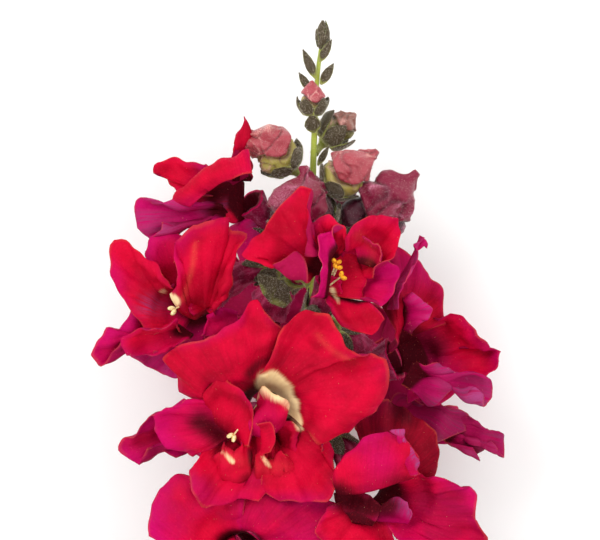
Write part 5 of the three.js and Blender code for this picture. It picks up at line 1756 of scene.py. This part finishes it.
        Lobe(base=((25.5, -34, -3), (27.5, -30, -3)), lift=(0, 0, 0.8), flush=0.6, lilac=0.35, tone=0.45,
            rim=((33, -36, -4), (34, -38.7, -6), (36.8, -35, -5), (39.7, -38.7, -7), (40, -34, -6),
            (36, -32.5, -4), (32.5, -30, -2))),
        Lobe(arc=(30, -50), flush=0.6, tone=0.3, rim=((27, -28, -8), (31, -30, -12), (31, -35, -14),
            (25, -37, -12))),
        Lobe(arc=(-70, -140), flush=0.6, rim=((23, -38, -12), (19, -38, -16), (13, -35, -14),
            (11, -31, -10))),
          )),
    Bloom("bloom_far_left", foot=(-5, -28, -4), throat=(-19, -33, -3), facing=(-0.9, -0.1, -0.2), mouth=5,
          petaloids=0,
          lobes=(
        Lobe(arc=(60, 150), lift=(0, 0, 1), flush=0.7, rim=((-26, -26, 1), (-30, -28.5, 2),
            (-34.5, -31, 0), (-38.5, -34.5, -3), (-40.5, -37.3, -5), (-36, -39.3, -4), (-33.5, -35, -2),
            (-28, -37, -1))),
        Lobe(arc=(-150, -60), flush=0.6, rim=((-28, -36, -8), (-28, -38, -13), (-22, -40, -15),
            (-17, -38, -12))),
          )),
    Bloom("bloom_lower_left", foot=(-3, -46, 4), throat=(-15, -58, 11), facing=(-0.2, -0.3, 0.9), mouth=7,
          lobes=(
        Lobe(arc=(185, 95), lift=(0, 0, 3), flush=0.55, rim=((-33, -53, 14), (-33, -47, 14),
            (-31.3, -43.5, 15), (-29, -41, 15), (-25.5, -40, 15), (-20, -41.5, 15), (-13, -43.5, 14.5))),
        Lobe(arc=(85, 0), lift=(0, 0, 3), flush=0.4, rim=((-17, -43.5, 13.5), (-9.5, -44, 15),
            (-3, -43.5, 15), (4.5, -46, 15), (6, -51, 14), (2, -58, 14))),
        Lobe(arc=(190, 235), lift=(0, 0, 2), flush=0.5, rim=((-34, -56, 13), (-37, -60, 12),
            (-36, -66, 11), (-31, -70, 11), (-24, -68, 12))),
        Lobe(arc=(245, 290), lift=(0, 0, 2), flush=0.5, rim=((-23, -70, 12), (-20, -76, 11),
            (-14, -78, 11), (-8, -75, 12), (-8, -70, 13))),
        Lobe(arc=(-60, -10), lift=(0, 0, 2), flush=0.5, rim=((-7, -72, 12), (-1, -74, 11), (3, -70, 11),
            (4, -63, 12))),
          )),
)

PATTERN_BLOOMS: tuple[PatternBloom, ...] = (
    PatternBloom("bloom_bottom_right", (4, -62, 1), (18, -73, 4), (0.75, -0.25, 0.5), 5.5, reach=17),
    PatternBloom("bloom_bottom", (-1, -77, 4), (-5, -91, 10), (-0.1, -0.45, 0.85), 5.5, reach=17),
    PatternBloom("bloom_back_left", (-3, -1, -4), (-11, -10, -18), (-0.4, -0.3, -0.85), 5.5, reach=13),
    PatternBloom("bloom_back_right", (3, -12, -4), (13, -20, -18), (0.5, -0.2, -0.8), 5.5, reach=12),
    PatternBloom("bloom_back_bottom", (-1, -55, -5), (-7, -67, -18), (-0.3, -0.3, -0.9), 5.5, reach=16),
)

BUDS: tuple[Bud, ...] = (
    Bud("bud_a", (0, 31.5, 1.5), (-0.2, 38.3, 1.8), 4.8, Tissue.ROSE_BUD, fold=2.2, sepals=0.55,
        crumple=0.03),
    Bud("bud_b", (-4.2, 20.5, 3), (-12.6, 29.3, 4), 8.6, Tissue.ROSE_BUD, fold=2.0, beak=(-1.9, -1.2, 0),
        hood_from=0.5, sepals=0.32),
    Bud("bud_c", (2.4, 26, -3), (8.7, 31.8, -4), 6.4, Tissue.OLIVE_BUD, fold=1.0, hood_from=0.62, sepals=0.6),
    Bud("bud_d", (3.5, 16, 4), (11.4, 25, 5.5), 8.8, Tissue.ROSE_BUD, fold=1.2, beak=(1.6, -0.9, 0),
        hood_from=0.5, sepals=0.32),
    Bud("bud_e", (-1.2, 7, 5), (-3, 20.5, 9), 13, Tissue.MAROON_BUD, fold=1.6, beak=(1.0, 0.4, 0),
        crumple=0.08),
    Bud("bud_f", (6.5, 6, 0), (20.5, 18.5, 2), 12, Tissue.MAROON_BUD, fold=1.2, beak=(0.7, 1.3, 0),
        crumple=0.08, sepals=0.3),
    Bud("bud_g", (4, 9, -4), (8.6, 16.4, -5), 5.4, Tissue.MAROON_BUD, fold=1.2),
)

# Bracts: foot, tip and width.
BRACT_PLACES: tuple[tuple[Point, Point, float], ...] = (
    ((1.4, 42.2, 0.8), (3.8, 46.6, 1), 1.8),
    ((0.6, 38.8, 0.9), (-2, 44.6, 1.4), 2),
    ((1.6, 37.6, 0.4), (4.2, 41.8, 0.6), 2),
    ((-0.5, 36.3, -0.2), (-2.8, 40, -0.4), 1.7),
    ((0.2, 27.8, 1.6), (-0.3, 31.4, 3.2), 3.4),
    ((1, 21.2, 0.5), (3.2, 25, 1), 1.4),
)
BRACTS: tuple[Blade, ...] = tuple(Blade(f"bract_{k}", foot, tip, width, 0.2, 0.4, Tissue.SEPAL)
                                  for k, (foot, tip, width) in enumerate(BRACT_PLACES, 1))

# Leaves: where on the stem, and how far the tip is from there.
LEAF_PLACES: tuple[tuple[str, float, Point, float], ...] = (
    ("leaf_1", -104, (-38, 26, -4), 10),
    ("leaf_2", -116, (40, 30, 2), 10),
    ("leaf_3", -134, (-34, 38, 8), 10),
    ("leaf_4", -150, (36, 34, -8), 11),
    ("leaf_5", -168, (-42, 34, -8), 11),
    ("leaf_6", -190, (34, 44, 6), 10),
)


def leaves() -> list[Blade]:
    """The leaves of the bare stem, each from just inside the stem's skin."""
    made = []
    for name, y, reach, width in LEAF_PLACES:
        share = stem_share(y)
        root = STEM_PATH.point(share)
        foot = root + unit(array(reach)) * float(stem_radius(share)) * 0.5
        made.append(Blade(name, tuple(foot), tuple(root + array(reach)), width, 4, 0.55, Tissue.LEAF))
    return made


def main() -> None:
    """Build the stem and everything on it, in order from the stem outwards."""
    logging.basicConfig(level=logging.INFO, format="%(message)s")
    Studio().build()
    stem = Stem()
    blooms = [*BLOOMS, *PATTERN_BLOOMS]
    pieces = [stem.build()]
    for bloom in blooms:
        pieces += bloom.build()
    for bud in BUDS:
        pieces += bud.build()
    blades = [*BRACTS, *leaves()]
    pieces += [blade.build() for blade in blades]
    tip = TipBud()
    pieces.append(tip.build())
    green = [stem.skin, tip.skin, *(b.calyx for b in blooms), *(b.calyx for b in BUDS),
             *(b.skin for b in BRACTS)]
    petals = [bloom.corolla for bloom in blooms]
    for down, skins in (
            (Down("sepal_down", Tissue.DOWN, 9.0, 0.4, 0.016, slot="calyx"), green),
            (Down("bud_down", Tissue.DOWN, 7.0, 0.3, 0.013, seed=9, slot="bud"), [b.skin for b in BUDS]),
            (Down("tube_down", Tissue.PINK_DOWN, 2.4, 0.45, 0.014, seed=3, slot="petal"), petals),
            (Down("petal_edge_down", Tissue.RIM_DOWN, 9.0, 0.32, 0.016, lean=0.9, where="edge", seed=5,
                  slot="petal"), petals),
            (Down("pollen", Tissue.POLLEN, 0.16, 0.08, 0.04, where="dust", sprout=Sprout.GRAIN, seed=8,
                  slot="petal"), petals)):
        pieces.append(down.build(skins))
    for piece in pieces:
        log.info("%-28s %7d faces", piece.name, len(piece.data.polygons))


if __name__ == "__main__":
    main()
